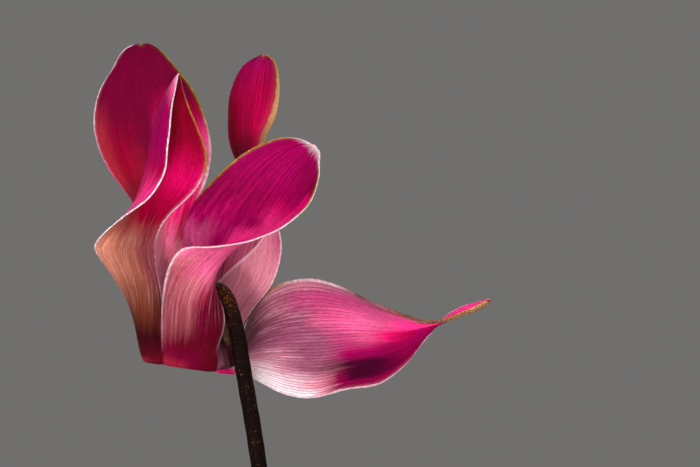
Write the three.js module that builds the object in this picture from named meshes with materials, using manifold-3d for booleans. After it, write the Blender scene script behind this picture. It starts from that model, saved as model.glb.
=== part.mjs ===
// Potted cyclamen: a plain terracotta pot of soil, the half-buried tuber, and its leaves, blooms and buds.
// Units are millimetres and +Z is up. The origin is the middle of the pot's base, and the front faces -Y.
import * as THREE from "three";
import { mergeVertices } from "three/addons/utils/BufferGeometryUtils.js";
import Module from "manifold-3d";

const wasm = await Module();
wasm.setup();

// Clearance between pieces that rest in or on each other.
const GAP = 0.4;

// Pot
const POT_HEIGHT = 112;
const POT_TOP_RADIUS = 65;
const POT_BASE_RADIUS = 44;
const POT_FLOOR = 8;
const COLLAR_HEIGHT = 26;
const COLLAR_STEP = 4.5;
const BODY_TOP_RADIUS = 59;
const BORE_TOP_RADIUS = 59.3;
const BORE_FLOOR_RADIUS = 39.5;
const POT_SIDES = 36;
const DRAIN_RADIUS = 5.5;
const DRAIN_RING_RADIUS = 24;
const DRAIN_HOLES = 3;

// Soil and tuber
const SOIL_TOP = 95;
const SOIL_RELIEF = 1.1;
const TUBER_RADIUS = 25;
const TUBER_HALF_HEIGHT = 15;
const TUBER_CENTRE_Z = 88;
const STEM_SEAT_Z = 94.5;

// Leaves
const BLADE_THICKNESS = 0.8;
const BLADE_COLUMNS = 30;
const BLADE_RINGS = [0.55, 1];
const PETIOLE_SEAT_RADIUS = 10.5;
const PETIOLE_BASE_RADIUS = 1.7;
const PETIOLE_TOP_RADIUS = 1.25;

// Blooms and buds
const PETAL_THICKNESS = 0.8;
const STEM_RADIUS = 1.5;
const STEM_SEAT_RADIUS = 6;
const PETALS_A_BLOOM = 5;
const HALF_PETAL_ANGLE = 34;
const CALYX_COLUMNS = 15;

const MAIN_BLOOM = new THREE.Vector3(-33, 0, 272);
const MAIN_BLOOM_TILT = 8;

const colours = {
  terracotta: new THREE.MeshStandardMaterial({ color: 0xb4633c, roughness: 0.9 }),
  soil: new THREE.MeshStandardMaterial({ color: 0x2e2019, roughness: 1 }),
  tuber: new THREE.MeshStandardMaterial({ color: 0x5b4030, roughness: 0.95 }),
  leaf: new THREE.MeshStandardMaterial({ color: 0x3f6b3a, roughness: 0.6 }),
  petal: new THREE.MeshStandardMaterial({ color: 0xc2185b, roughness: 0.55 }),
  stem: new THREE.MeshStandardMaterial({ color: 0x4a2a1c, roughness: 0.6 }),
};

// --- Points and angles ---------------------------------------------------------------------------------

const vec = (x, y, z) => new THREE.Vector3(x, y, z);
const toVectors = (points) => points.map((point) => vec(...point));
const radians = THREE.MathUtils.degToRad;

// A point at an angle round the Z axis, counted from +X towards +Y.
function polar(degrees, radius, z) {
  return vec(radius * Math.cos(radians(degrees)), radius * Math.sin(radians(degrees)), z);
}

// A point round a bloom's axis: azimuth 0 faces the front (-Y) and 90 the right (+X).
function roundBloom(azimuth, radius, z) {
  return vec(radius * Math.sin(radians(azimuth)), -radius * Math.cos(radians(azimuth)), z);
}

const smoothCurve = (points) => new THREE.CatmullRomCurve3(points, false, "catmullrom", 0.5);

// --- Closed meshes -------------------------------------------------------------------------------------

function indexedGeometry(points, triangles) {
  const geometry = new THREE.BufferGeometry().setFromPoints(points);
  geometry.setIndex(triangles.flat());
  return geometry;
}

// A closed skin over rings of equal length, capped by a fan at each end. Every ring runs anticlockwise
// as seen from the end point.
function skin(start, rings, end) {
  const columns = rings[0].length;
  const points = [start, ...rings.flat(), end];
  const endIndex = points.length - 1;
  const at = (ring, column) => 1 + ring * columns + (column % columns);
  const triangles = [];
  for (let column = 0; column < columns; column++) {
    triangles.push([0, at(0, column + 1), at(0, column)]);
    for (let ring = 0; ring < rings.length - 1; ring++) {
      const [low, lowNext] = [at(ring, column), at(ring, column + 1)];
      const [high, highNext] = [at(ring + 1, column), at(ring + 1, column + 1)];
      triangles.push([low, lowNext, highNext], [low, highNext, high]);
    }
    triangles.push([endIndex, at(rings.length - 1, column), at(rings.length - 1, column + 1)]);
  }
  return indexedGeometry(points, triangles);
}

// A thin closed sheet: a surface copied to both of its sides, split alike on each, and joined at its edge.
function thicken(points, triangles, thickness) {
  const surface = indexedGeometry(points, triangles);
  surface.computeVertexNormals();
  const normals = surface.getAttribute("normal");
  const shift = (point, i, side) => {
    const normal = new THREE.Vector3().fromBufferAttribute(normals, i);
    return point.clone().addScaledVector(normal, side * thickness / 2);
  };
  const upper = points.map((point, i) => shift(point, i, 1));
  const lower = points.map((point, i) => shift(point, i, -1));
  const count = points.length;
  const edgesOf = ([a, b, c]) => [[a, b], [b, c], [c, a]];
  const used = new Set(triangles.flatMap(edgesOf).map(([a, b]) => `${a}_${b}`));
  const closed = [];
  for (const triangle of triangles) {
    const [a, b, c] = triangle;
    closed.push([a, b, c], [c + count, b + count, a + count]);
    for (const [from, to] of edgesOf(triangle)) {
      if (used.has(`${to}_${from}`)) continue;
      closed.push([to, from, from + count], [to, from + count, to + count]);
    }
  }
  return indexedGeometry([...upper, ...lower], closed);
}

// A round tube along a curve, whose radius changes evenly from its start to its end.
function tube(points, startRadius, endRadius, steps, sides) {
  const curve = smoothCurve(points);
  const frames = curve.computeFrenetFrames(steps, false);
  const rings = [];
  for (let step = 0; step <= steps; step++) {
    const along = step / steps;
    const radius = THREE.MathUtils.lerp(startRadius, endRadius, along);
    const centre = curve.getPointAt(along);
    rings.push(ringPoints(centre, frames.normals[step], frames.binormals[step], radius, sides));
  }
  return skin(curve.getPointAt(0), rings, curve.getPointAt(1));
}

function ringPoints(centre, across, up, radius, sides) {
  return Array.from({ length: sides }, (_, side) => {
    const angle = 2 * Math.PI * side / sides;
    const point = centre.clone().addScaledVector(across, radius * Math.cos(angle));
    return point.addScaledVector(up, radius * Math.sin(angle));
  });
}

// A turned shape about the Z axis, from a profile of [radius, height] pairs.
function turned(profile, sides) {
  const geometry = new THREE.LatheGeometry(profile.map(([r, z]) => new THREE.Vector2(r, z)), sides);
  return geometry.rotateX(Math.PI / 2);
}

// --- Solids that are joined and cut --------------------------------------------------------------------

function toSolid(geometry) {
  const plain = geometry.clone();
  plain.deleteAttribute("normal");
  plain.deleteAttribute("uv");
  const merged = mergeVertices(plain, 1e-4);
  const corners = Array.from(merged.index.array);
  const triangles = [];
  for (let i = 0; i < corners.length; i += 3) {
    const [a, b, c] = corners.slice(i, i + 3);
    if (a !== b && b !== c && c !== a) triangles.push(a, b, c);
  }
  return new wasm.Manifold(new wasm.Mesh({
    numProp: 3,
    vertProperties: new Float32Array(merged.getAttribute("position").array),
    triVerts: new Uint32Array(triangles),
  }));
}

function toGeometry(solid) {
  const mesh = solid.getMesh();
  const geometry = new THREE.BufferGeometry();
  geometry.setAttribute("position", new THREE.BufferAttribute(mesh.vertProperties, mesh.numProp));
  geometry.setIndex(new THREE.BufferAttribute(mesh.triVerts, 1));
  return geometry;
}

// One body: what the pieces enclose between them is filled, and any loose scrap is left out.
function joined(geometries) {
  const whole = geometries.map(toSolid).reduce((sum, next) => sum.add(next));
  return whole.decompose().reduce((best, next) => (next.volume() > best.volume() ? next : best));
}

const cut = (solid, geometries) => geometries.map(toSolid).reduce((rest, next) => rest.subtract(next), solid);

// --- Pot, soil and tuber -------------------------------------------------------------------------------

const boreRadius = (z) => {
  const upward = (z - POT_FLOOR) / (POT_HEIGHT - 2 - POT_FLOOR);
  return THREE.MathUtils.lerp(BORE_FLOOR_RADIUS, BORE_TOP_RADIUS, upward);
};

function potGeometry() {
  const collarFoot = POT_HEIGHT - COLLAR_HEIGHT;
  const profile = [
    [0, 0],
    [POT_BASE_RADIUS - 1.5, 0],
    [POT_BASE_RADIUS, 1.5],
    [BODY_TOP_RADIUS, collarFoot],
    [BODY_TOP_RADIUS + COLLAR_STEP, collarFoot + 1],
    [POT_TOP_RADIUS, POT_HEIGHT - 2],
    [POT_TOP_RADIUS - 2, POT_HEIGHT],
    [BORE_TOP_RADIUS + 1, POT_HEIGHT],
    [BORE_TOP_RADIUS, POT_HEIGHT - 2],
    [BORE_FLOOR_RADIUS, POT_FLOOR],
    [0, POT_FLOOR],
  ];
  const drains = Array.from({ length: DRAIN_HOLES }, (_, hole) => {
    const centre = polar(90 + hole * 360 / DRAIN_HOLES, DRAIN_RING_RADIUS, POT_FLOOR / 2);
    const drain = new THREE.CylinderGeometry(DRAIN_RADIUS, DRAIN_RADIUS, 2 * POT_FLOOR, 12);
    return drain.rotateX(Math.PI / 2).translate(centre.x, centre.y, centre.z);
  });
  return toGeometry(cut(toSolid(turned(profile, POT_SIDES)), drains));
}

// The tuber's skin: a flattened ball with shallow lumps. The same shape, grown by a clearance, is its
// hollow in the soil.
function tuberGeometry(extra) {
  const columns = 18;
  const levels = [148, 122, 100, 78, 58, 38, 18];
  const lumps = (angle, level) => 1 + 0.03 * Math.sin(3 * angle + level) + 0.015 * Math.sin(7 * angle);
  const rings = levels.map((level) => Array.from({ length: columns }, (_, column) => {
    const angle = 2 * Math.PI * column / columns;
    const radius = TUBER_RADIUS * Math.sin(radians(level)) ** 0.75 * lumps(angle, radians(level)) + extra;
    const z = TUBER_CENTRE_Z + (TUBER_HALF_HEIGHT + extra) * Math.cos(radians(level));
    return vec(radius * Math.cos(angle), radius * Math.sin(angle), z);
  }));
  const bottom = vec(0, 0, TUBER_CENTRE_Z - TUBER_HALF_HEIGHT - extra);
  const top = vec(0, 0, TUBER_CENTRE_Z + TUBER_HALF_HEIGHT + extra);
  return skin(bottom, rings, top);
}

function soilGeometry() {
  const bottom = POT_FLOOR + GAP;
  const ringAt = (radius, height) => Array.from({ length: POT_SIDES }, (_, side) => {
    const degrees = 360 * side / POT_SIDES;
    return polar(degrees, radius, height(radians(degrees)));
  });
  const relief = (radius) => (angle) => {
    const crumbs = Math.sin(5 * angle + radius) + Math.sin(9 * angle - 0.7 * radius);
    return SOIL_TOP + SOIL_RELIEF * crumbs / 2;
  };
  const edge = boreRadius(SOIL_TOP - 2) - GAP;
  const rings = [
    ringAt(boreRadius(bottom) - GAP, () => bottom),
    ringAt(edge, () => SOIL_TOP - 2),
    ...[50, 38, 27].map((radius) => ringAt(radius, relief(radius))),
  ];
  return toGeometry(cut(toSolid(skin(vec(0, 0, bottom), rings, vec(0, 0, SOIL_TOP))), [tuberGeometry(GAP)]));
}

// --- Stems in the tuber's crown ------------------------------------------------------------------------

// The straight foot of a stem in its hole: the seat, a point above it, and one clear of the crown.
function stemFoot({ seatAzimuth, seatRadius, leanAzimuth, lean }) {
  const seat = polar(seatAzimuth, seatRadius, STEM_SEAT_Z);
  const direction = polar(leanAzimuth, Math.sin(radians(lean)), Math.cos(radians(lean)));
  return [0, 8, 15].map((length) => seat.clone().addScaledVector(direction, length));
}

// The hole that a foot stands in, open at the crown.
function footHole(foot, radius) {
  const direction = foot[1].clone().sub(foot[0]).normalize();
  const start = foot[0].clone().addScaledVector(direction, -GAP);
  const end = foot[0].clone().addScaledVector(direction, 15);
  return tube([start, end], radius + GAP + 0.35, radius + GAP + 0.35, 1, 6);
}

// --- Leaves --------------------------------------------------------------------------------------------

// Each leaf: the direction it points, how far out and how high its stalk meets the blade, the blade's
// size, its downward tilt, the stalk's lean in the crown, and the phase of the blade's waves.
const LEAVES = [
  { name: "leaf_low_1", azimuth: 12, reach: 74, height: 127, size: 51, tilt: 26, lean: 34, wave: 0.4 },
  { name: "leaf_low_2", azimuth: 84, reach: 71, height: 124, size: 48, tilt: 29, lean: 34, wave: 1.9 },
  { name: "leaf_low_3", azimuth: 156, reach: 75, height: 129, size: 52, tilt: 25, lean: 34, wave: 3.1 },
  { name: "leaf_low_4", azimuth: 228, reach: 72, height: 125, size: 49, tilt: 28, lean: 34, wave: 4.4 },
  { name: "leaf_low_5", azimuth: 300, reach: 76, height: 126, size: 51, tilt: 27, lean: 34, wave: 5.6 },
  { name: "leaf_mid_1", azimuth: 48, reach: 48, height: 158, size: 41, tilt: 17, lean: 20, wave: 2.5 },
  { name: "leaf_mid_2", azimuth: 119, reach: 50, height: 162, size: 40, tilt: 19, lean: 20, wave: 0.9 },
  { name: "leaf_mid_3", azimuth: 192, reach: 47, height: 151, size: 43, tilt: 16, lean: 20, wave: 5.1 },
  { name: "leaf_mid_4", azimuth: 265, reach: 51, height: 163, size: 41, tilt: 18, lean: 20, wave: 3.7 },
  { name: "leaf_mid_5", azimuth: 335, reach: 50, height: 150, size: 42, tilt: 18, lean: 20, wave: 1.2 },
  { name: "leaf_top_1", azimuth: 49, reach: 31, height: 187, size: 31, tilt: 10, lean: 9, wave: 4.9 },
  { name: "leaf_top_2", azimuth: 174, reach: 32, height: 187, size: 32, tilt: 12, lean: 9, wave: 2.2 },
  { name: "leaf_top_3", azimuth: 294, reach: 31, height: 189, size: 30, tilt: 11, lean: 9, wave: 0.2 },
];

// The stalks stand round the crown in the order of their leaves' directions.
const crownOrder = [...LEAVES].sort((a, b) => a.azimuth - b.azimuth);
const crownAzimuth = (leaf) => 15 + crownOrder.indexOf(leaf) * 360 / LEAVES.length;

// Half the heart's breadth at an angle from its tip, with the cleft where the stalk joins.
function heartRadius(angle, size, tooth) {
  const round = 0.62 + 0.33 * Math.cos(angle / 2) ** 2;
  const tip = 0.12 * Math.exp(-((angle / 0.35) ** 2));
  const cleft = 1 - 0.88 * Math.exp(-(((Math.PI - Math.abs(angle)) / 0.13) ** 2));
  return size * (round + tip + tooth) * cleft;
}

// A heart-shaped blade with a toothed, waved edge. Its stalk joins at the origin, its tip points along
// +X and its upper face looks up.
function bladeGeometry({ size, wave }) {
  const points = [vec(0, 0, 0)];
  for (const ring of BLADE_RINGS) {
    for (let column = 0; column < BLADE_COLUMNS; column++) {
      const angle = 2 * Math.PI * (column / BLADE_COLUMNS - 0.5);
      const tooth = ring === 1 && column > 1 ? 0.022 * (-1) ** column : 0;
      const radius = ring * heartRadius(angle, size, tooth);
      const fraction = radius / size;
      const droop = -0.17 * fraction ** 2 + 0.05 * Math.abs(fraction * Math.sin(angle));
      const ripple = 0.045 * fraction ** 2 * Math.sin(5 * angle + wave);
      points.push(vec(radius * Math.cos(angle), radius * Math.sin(angle), size * (droop + ripple)));
    }
  }
  const at = (ring, column) => 1 + ring * BLADE_COLUMNS + (column % BLADE_COLUMNS);
  const triangles = [];
  for (let column = 0; column < BLADE_COLUMNS; column++) {
    triangles.push([0, at(0, column), at(0, column + 1)]);
    const [inner, innerNext] = [at(0, column), at(0, column + 1)];
    const [outer, outerNext] = [at(1, column), at(1, column + 1)];
    triangles.push([inner, outer, outerNext], [inner, outerNext, innerNext]);
  }
  return thicken(points, triangles, BLADE_THICKNESS);
}

function leafFoot(leaf) {
  const azimuth = crownAzimuth(leaf);
  const swing = THREE.MathUtils.euclideanModulo(leaf.azimuth - azimuth + 180, 360) - 180;
  const leanAzimuth = azimuth + 0.5 * swing;
  return stemFoot({ seatAzimuth: azimuth, seatRadius: PETIOLE_SEAT_RADIUS, leanAzimuth, lean: leaf.lean });
}

function leafGeometry(leaf) {
  const foot = leafFoot(leaf);
  const crown = foot[2];
  const joint = polar(leaf.azimuth, leaf.reach, leaf.height);
  const halfway = crown.clone().lerp(joint, 0.5).setZ(THREE.MathUtils.lerp(crown.z, joint.z, 0.66));
  const approach = polar(leaf.azimuth, leaf.reach - 8, leaf.height - 5);
  const end = joint.clone().lerp(approach, 0.06);
  const stalk = tube([...foot, halfway, approach, end], PETIOLE_BASE_RADIUS, PETIOLE_TOP_RADIUS, 8, 5);
  const blade = bladeGeometry(leaf);
  blade.rotateY(radians(leaf.tilt)).rotateZ(radians(leaf.azimuth)).translate(joint.x, joint.y, joint.z);
  return toGeometry(joined([stalk, blade]));
}

// --- Petals --------------------------------------------------------------------------------------------

// The main bloom's petals. A row crosses a petal from its left margin over its middle to its right margin,
// as seen from outside the bloom at the petal's foot. Rows run from the foot to the tip.
const MAIN_PETALS = [
  {
    azimuth: 0,
    rows: [
      [[-4.9, -7.6, 2.5], [0.4, -9.6, 2.2], [4.9, -8.2, 2.2]],
      [[-5.0, -9.0, 6.5], [1.3, -12.0, 6.5], [6.4, -8.6, 7.0]],
      [[-4.8, -12.0, 11.9], [2.0, -13.5, 12.2], [5.6, -8.0, 11.5]],
      [[-3.7, -15.0, 17.3], [4.3, -12.5, 16.7], [2.5, -5.0, 16.6]],
      [[-1.1, -17.0, 20.8], [7.7, -11.0, 20.7], [-0.7, -2.0, 21.1]],
      [[4.7, -18.0, 21.2], [11.0, -9.5, 22.9], [-1.3, 0.0, 24.5]],
      [[10.6, -17.5, 22.1], [13.5, -7.5, 25.6], [0.4, 0.6, 28.8]],
      [[16.0, -16.0, 24.3], [16.0, -6.0, 29.2], [4.9, -1.0, 33.9]],
      [[20.7, -13.5, 27.7], [18.5, -6.0, 32.8], [10.1, -3.0, 38.2]],
      [[22.9, -11.0, 32.0], [20.9, -7.0, 36.4], [16.2, -5.0, 40.7]],
      [[23.4, -9.5, 36.2], [22.7, -8.0, 38.5], [20.5, -7.0, 40.3]],
    ],
    tip: [23.0, -8.5, 38.5],
  },
  {
    azimuth: -72,
    rows: [
      [[-8.6, 2.6, 4.0], [-8.5, -3.8, 3.2], [-4.5, -6.6, 2.5]],
      [[-9.7, 1.8, 7.6], [-8.8, -5.0, 7.0], [-4.3, -6.3, 6.5]],
      [[-12.2, 0.0, 13.0], [-8.8, -6.2, 12.1], [-4.9, -5.0, 12.1]],
      [[-15.1, -3.5, 17.6], [-9.9, -7.0, 16.6], [-5.9, -3.5, 16.6]],
      [[-17.1, -7.0, 20.5], [-11.2, -7.5, 20.5], [-6.3, -2.5, 19.8]],
      [[-16.0, -9.5, 22.7], [-10.1, -6.0, 24.1], [-5.8, -1.8, 23.8]],
      [[-12.2, -12.5, 25.9], [-8.6, -4.5, 28.1], [-2.9, -2.0, 27.5]],
      [[-7.6, -14.0, 29.3], [-7.7, -3.5, 32.4], [0.9, -2.6, 31.0]],
      [[-4.3, -14.5, 33.8], [-6.8, -4.0, 37.4], [2.9, -2.4, 34.9]],
      [[-3.8, -13.0, 38.5], [-5.9, -4.0, 42.1], [2.9, -2.4, 38.5]],
      [[-3.2, -11.5, 43.9], [-4.9, -5.0, 46.6], [1.3, -3.0, 42.8]],
      [[-2.5, -9.0, 49.0], [-3.2, -5.5, 50.0], [-0.5, -4.5, 46.8]],
    ],
    tip: [-1.8, -7.0, 52.4],
  },
  {
    azimuth: -144,
    rows: [
      [[0.0, 9.4, 2.5], [-5.4, 8.2, 3.1], [-7.7, 3.6, 4.0]],
      [[-1.4, 11.0, 7.0], [-5.8, 9.6, 6.5], [-7.6, 4.0, 6.5]],
      [[-4.7, 13.5, 13.3], [-6.8, 10.0, 12.1], [-5.8, 4.0, 11.5]],
      [[-7.2, 15.0, 19.3], [-6.7, 9.0, 17.8], [-2.2, 3.2, 18.0]],
      [[-9.0, 14.5, 24.5], [-6.3, 8.5, 22.9], [-0.3, 4.0, 23.4]],
      [[-10.4, 14.0, 28.8], [-5.9, 8.5, 28.3], [1.0, 4.6, 29.0]],
      [[-13.5, 13.0, 32.9], [-6.5, 8.5, 33.8], [2.9, 5.6, 33.1]],
      [[-16.7, 12.5, 38.3], [-7.6, 8.6, 40.3], [3.8, 6.8, 38.2]],
      [[-17.8, 12.0, 43.9], [-8.3, 9.2, 45.7], [3.1, 8.0, 43.0]],
      [[-16.7, 12.0, 49.3], [-8.8, 10.2, 51.1], [0.9, 9.0, 48.8]],
      [[-14.2, 12.0, 53.6], [-8.8, 11.0, 55.1], [-3.2, 10.5, 54.2]],
      [[-12.2, 12.5, 56.8], [-9.2, 12.0, 57.5], [-6.2, 12.0, 57.2]],
    ],
    tip: [-9.2, 12.4, 57.9],
  },
  {
    azimuth: 144,
    rows: [
      [[8.5, 3.4, 2.0], [5.4, 7.8, 1.6], [0.5, 9.4, 2.2]],
      [[9.0, 4.2, 5.6], [5.8, 8.6, 5.2], [1.8, 9.2, 5.2]],
      [[11.2, 6.0, 9.7], [7.6, 9.0, 10.6], [3.6, 7.5, 10.6]],
      [[14.6, 8.0, 13.9], [9.9, 9.0, 14.6], [4.0, 6.0, 14.6]],
      [[16.4, 10.0, 19.6], [11.6, 9.2, 19.8], [5.2, 4.6, 20.2]],
      [[16.0, 12.5, 24.1], [12.4, 9.4, 24.5], [8.6, 4.0, 24.6]],
      [[13.0, 16.0, 29.5], [12.2, 9.6, 29.0], [12.6, 4.0, 28.6]],
      [[9.4, 18.0, 34.0], [11.2, 10.0, 34.6], [14.0, 4.0, 33.1]],
      [[7.2, 19.0, 38.9], [10.4, 11.0, 40.0], [13.0, 5.0, 39.2]],
      [[6.5, 19.0, 44.3], [10.8, 12.0, 45.4], [15.1, 6.5, 43.9]],
      [[7.2, 18.0, 49.7], [11.5, 13.0, 50.8], [16.2, 8.5, 49.3]],
      [[9.4, 16.5, 54.0], [12.6, 14.0, 55.0], [15.5, 11.5, 54.3]],
    ],
    tip: [13.2, 14.5, 56.0],
  },
  {
    azimuth: 72,
    rows: [
      [[8.3, -6.8, -1.6], [9.7, -1.2, 1.4], [9.2, 6.5, 3.8]],
      [[12.1, -7.2, -2.9], [13.1, -2.2, 2.7], [11.6, 8.5, 10.7]],
      [[16.6, -7.7, -5.2], [18.0, -4.2, 3.2], [16.4, 7.0, 14.5]],
      [[22.0, -7.8, -6.1], [23.4, -6.0, 3.4], [22.0, 4.0, 15.4]],
      [[27.9, -7.4, -4.5], [28.8, -6.8, 4.0], [27.9, 0.5, 13.7]],
      [[33.8, -6.4, -3.8], [34.2, -6.6, 4.3], [33.8, -2.0, 10.8]],
      [[38.7, -5.0, -0.2], [39.1, -5.8, 4.9], [39.1, -4.8, 8.8]],
      [[42.3, -4.0, 4.3], [42.8, -5.0, 6.5], [43.4, -6.3, 7.8]],
      [[45.2, -3.5, 8.1], [46.3, -5.5, 8.1], [46.8, -7.0, 8.3]],
      [[48.6, -2.5, 10.3], [49.7, -5.0, 9.5], [50.4, -6.5, 9.4]],
      [[52.2, -3.5, 11.3], [52.7, -5.0, 11.0], [53.3, -6.0, 10.8]],
    ],
    tip: [54.2, -5.0, 11.5],
  },
];

// A petal of the other blooms, at points up its length: how far out and how high its middle is, half its
// breadth, and how far it has twisted.
const PETAL_STATIONS = [
  { out: 9.2, up: 2.5, half: 5.0, twist: 0 },
  { out: 10.0, up: 7.0, half: 4.4, twist: 10 },
  { out: 10.8, up: 13.0, half: 4.8, twist: 30 },
  { out: 11.6, up: 22.0, half: 7.6, twist: 58 },
  { out: 13.0, up: 33.0, half: 9.6, twist: 80 },
  { out: 15.0, up: 43.0, half: 7.4, twist: 95 },
  { out: 16.6, up: 49.0, half: 3.4, twist: 102 },
];
const PETAL_TIP = { out: 17.4, up: 51.5 };

// The petals next to the stem sway aside to let it pass between them.
const PLAIN_PETALS = [
  { azimuth: 36, sway: 13 },
  { azimuth: 108, sway: 4 },
  { azimuth: 180, sway: 0 },
  { azimuth: -108, sway: -4 },
  { azimuth: -36, sway: -13 },
];

function plainPetal({ azimuth, sway }, length, flare) {
  const rows = PETAL_STATIONS.map(({ out, up, half, twist }) => {
    const turn = azimuth + sway * Math.min(1, up / 7);
    const outward = roundBloom(turn, 1, 0);
    const sideways = roundBloom(turn + 90, 1, 0);
    const reach = out + flare * (up / PETAL_TIP.up) ** 2;
    const middle = outward.clone().multiplyScalar(reach).setZ(up * length);
    const across = sideways.clone().multiplyScalar(Math.cos(radians(twist)));
    across.addScaledVector(outward, -Math.sin(radians(twist)));
    const facing = outward.clone().multiplyScalar(Math.cos(radians(twist)));
    facing.addScaledVector(sideways, Math.sin(radians(twist)));
    return [
      middle.clone().addScaledVector(across, -half),
      middle.clone().addScaledVector(facing, 0.2 * half),
      middle.clone().addScaledVector(across, half),
    ].map((point) => point.toArray());
  });
  const tip = roundBloom(azimuth + sway, PETAL_TIP.out + flare, PETAL_TIP.up * length).toArray();
  return { azimuth, rows, tip };
}

// How a petal leaves the mouth: from inside the ring and up its outside, as [radius, height] pairs.
const MOUTH_ROWS = [[8.1, -0.5], [8.7, 0.7]];

function petalGeometry({ azimuth, rows, tip }, tilt, columns, steps) {
  const mouth = MOUTH_ROWS.map(([radius, z]) => [-HALF_PETAL_ANGLE, 0, HALF_PETAL_ANGLE].map((side) => {
    return roundBloom(azimuth + side, radius, z).applyAxisAngle(vec(0, 1, 0), radians(tilt));
  }));
  const all = [...mouth, ...rows.map(toVectors), [vec(...tip), vec(...tip), vec(...tip)]];
  const lines = [0, 1, 2].map((side) => smoothCurve(all.map((row) => row[side])));
  const points = [];
  for (let step = 0; step <= steps; step++) {
    // The last row stops just short of the tip, so that it still has a breadth.
    const along = (step / steps) * (1 - 0.25 / (all.length - 1));
    const [left, middle, right] = lines.map((line) => line.getPoint(along));
    const pull = middle.clone().multiplyScalar(2).sub(left.clone().add(right).multiplyScalar(0.5));
    const section = new THREE.QuadraticBezierCurve3(left, pull, right);
    points.push(...section.getPoints(columns));
  }
  const triangles = [];
  for (let step = 0; step < steps; step++) {
    for (let column = 0; column < columns; column++) {
      const corner = step * (columns + 1) + column;
      const above = corner + columns + 1;
      triangles.push([corner, corner + 1, above + 1], [corner, above + 1, above]);
    }
  }
  return thicken(points, triangles, PETAL_THICKNESS);
}

// The tube that the petals grow from, open at its ring-shaped mouth and round the ovary.
const TUBE_PROFILE = [
  [2.7, 8.8], [2.7, 7.8], [3.8, 7.2], [4.6, 5.3], [5.5, 2.8], [6.3, 0.8], [7.2, -0.9], [8.1, -1.3],
  [8.9, -0.5], [8.6, 0.3], [7.7, 0.8], [6.6, 2.4], [5.5, 5.6], [4.6, 8.1], [2.7, 8.8],
];

function corollaGeometry(petals, tilt, columns, steps, sides) {
  const throat = turned(TUBE_PROFILE, sides).rotateY(radians(tilt));
  const sheets = petals.map((petal) => petalGeometry(petal, tilt, columns, steps));
  return toGeometry(joined([throat, ...sheets]));
}

// --- Calyx, ovary and style ----------------------------------------------------------------------------

const PISTIL_PROFILE = [
  [0, -1.8], [0.7, -1.6], [0.7, 5.6], [1.5, 6.0], [2.1, 7.2], [2.1, 9.2], [3.0, 9.6], [3.0, 10.4],
  [1.9, 11.4], [0, 11.8],
];
const BUD_CORE_PROFILE = [[0, 9.4], [2.4, 9.4], [3.0, 9.8], [3.0, 10.4], [1.9, 11.4], [0, 11.8]];

// Five pointed sepals that grow together into a shallow cup over the top of the tube.
function sepalGeometry() {
  const ringAt = (radius, height) => Array.from({ length: CALYX_COLUMNS }, (_, column) => {
    const azimuth = 360 * column / CALYX_COLUMNS;
    const point = 0.5 + 0.5 * Math.cos(radians(azimuth * PETALS_A_BLOOM));
    return roundBloom(azimuth, radius(point), height(point));
  });
  const rings = [
    ringAt(() => 2.4, () => 10.2),
    ringAt(() => 5.6, () => 8.3),
    ringAt((point) => 5.9 + 0.8 * point, (point) => 7.1 - 2.7 * point),
  ];
  const at = (ring, column) => ring * CALYX_COLUMNS + (column % CALYX_COLUMNS);
  const triangles = [];
  for (let ring = 0; ring < rings.length - 1; ring++) {
    for (let column = 0; column < CALYX_COLUMNS; column++) {
      const [inner, innerNext] = [at(ring, column), at(ring, column + 1)];
      const [outer, outerNext] = [at(ring + 1, column), at(ring + 1, column + 1)];
      triangles.push([inner, outer, outerNext], [inner, outerNext, innerNext]);
    }
  }
  return thicken(rings.flat(), triangles, 0.7);
}

function calyxGeometries(core) {
  return [turned(core, 8), sepalGeometry()];
}

// A closed, twisted bud that hangs from its calyx: [radius, height] pairs, five folds round it.
const BUD_PROFILE = [[3.0, 8.8], [4.4, 8.0], [5.1, 5.6], [5.4, 1], [6.3, -5], [6.0, -11], [3.9, -18], [1.4, -24]];
const BUD_TIP = -26;
const BUD_TWIST = 150;

function budGeometry() {
  const columns = 10;
  const [top, bottom] = [BUD_PROFILE[0][1], BUD_TIP];
  const rings = BUD_PROFILE.map(([radius, z]) => Array.from({ length: columns }, (_, column) => {
    const below = Math.max(0, (5 - z) / (5 - bottom));
    const fold = 1 + 0.13 * Math.min(1, 4 * below) * (-1) ** column;
    return roundBloom(360 * column / columns + BUD_TWIST * below, radius * fold, z);
  }));
  return skin(vec(0, 0, bottom), rings.reverse(), vec(0, 0, top));
}

// --- Flowers: where each hangs, and its stem's way up to it ---------------------------------------------

// Places a point or a mesh of a bloom or bud, whose own origin is the middle of the mouth.
function flowerMatrix({ place, turn, tilt }) {
  const matrix = new THREE.Matrix4().makeTranslation(...place);
  matrix.multiply(new THREE.Matrix4().makeRotationZ(radians(turn)));
  return matrix.multiply(new THREE.Matrix4().makeRotationY(radians(tilt)));
}

// The last bend of a stem over the top of a flower and down to its calyx, which faces -Y in the flower.
const PLAIN_HOOK = [[0, -13.2, 3.5], [0, -10.4, 9.6], [0, -6.2, 13.4], [0, -2.2, 13.6], [0, -0.2, 12.0], [0, 0, 10.2]];

// The main stem's bend and its upper length, as seen beside the front petal, from the middle of the mouth.
const MAIN_HOOK = [
  [12.6, -12.8, -18.5], [11.3, -12.0, -9.7], [9.8, -10.4, -1.6], [9.0, -8.6, 3.4], [8.5, -7.4, 6.1],
  [7.7, -6.3, 9.0], [6.9, -5.2, 11.5], [5.2, -3.5, 13.4], [3.3, -1.5, 13.3], [2.0, -0.3, 12.0], [1.4, 0, 10.2],
];

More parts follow.
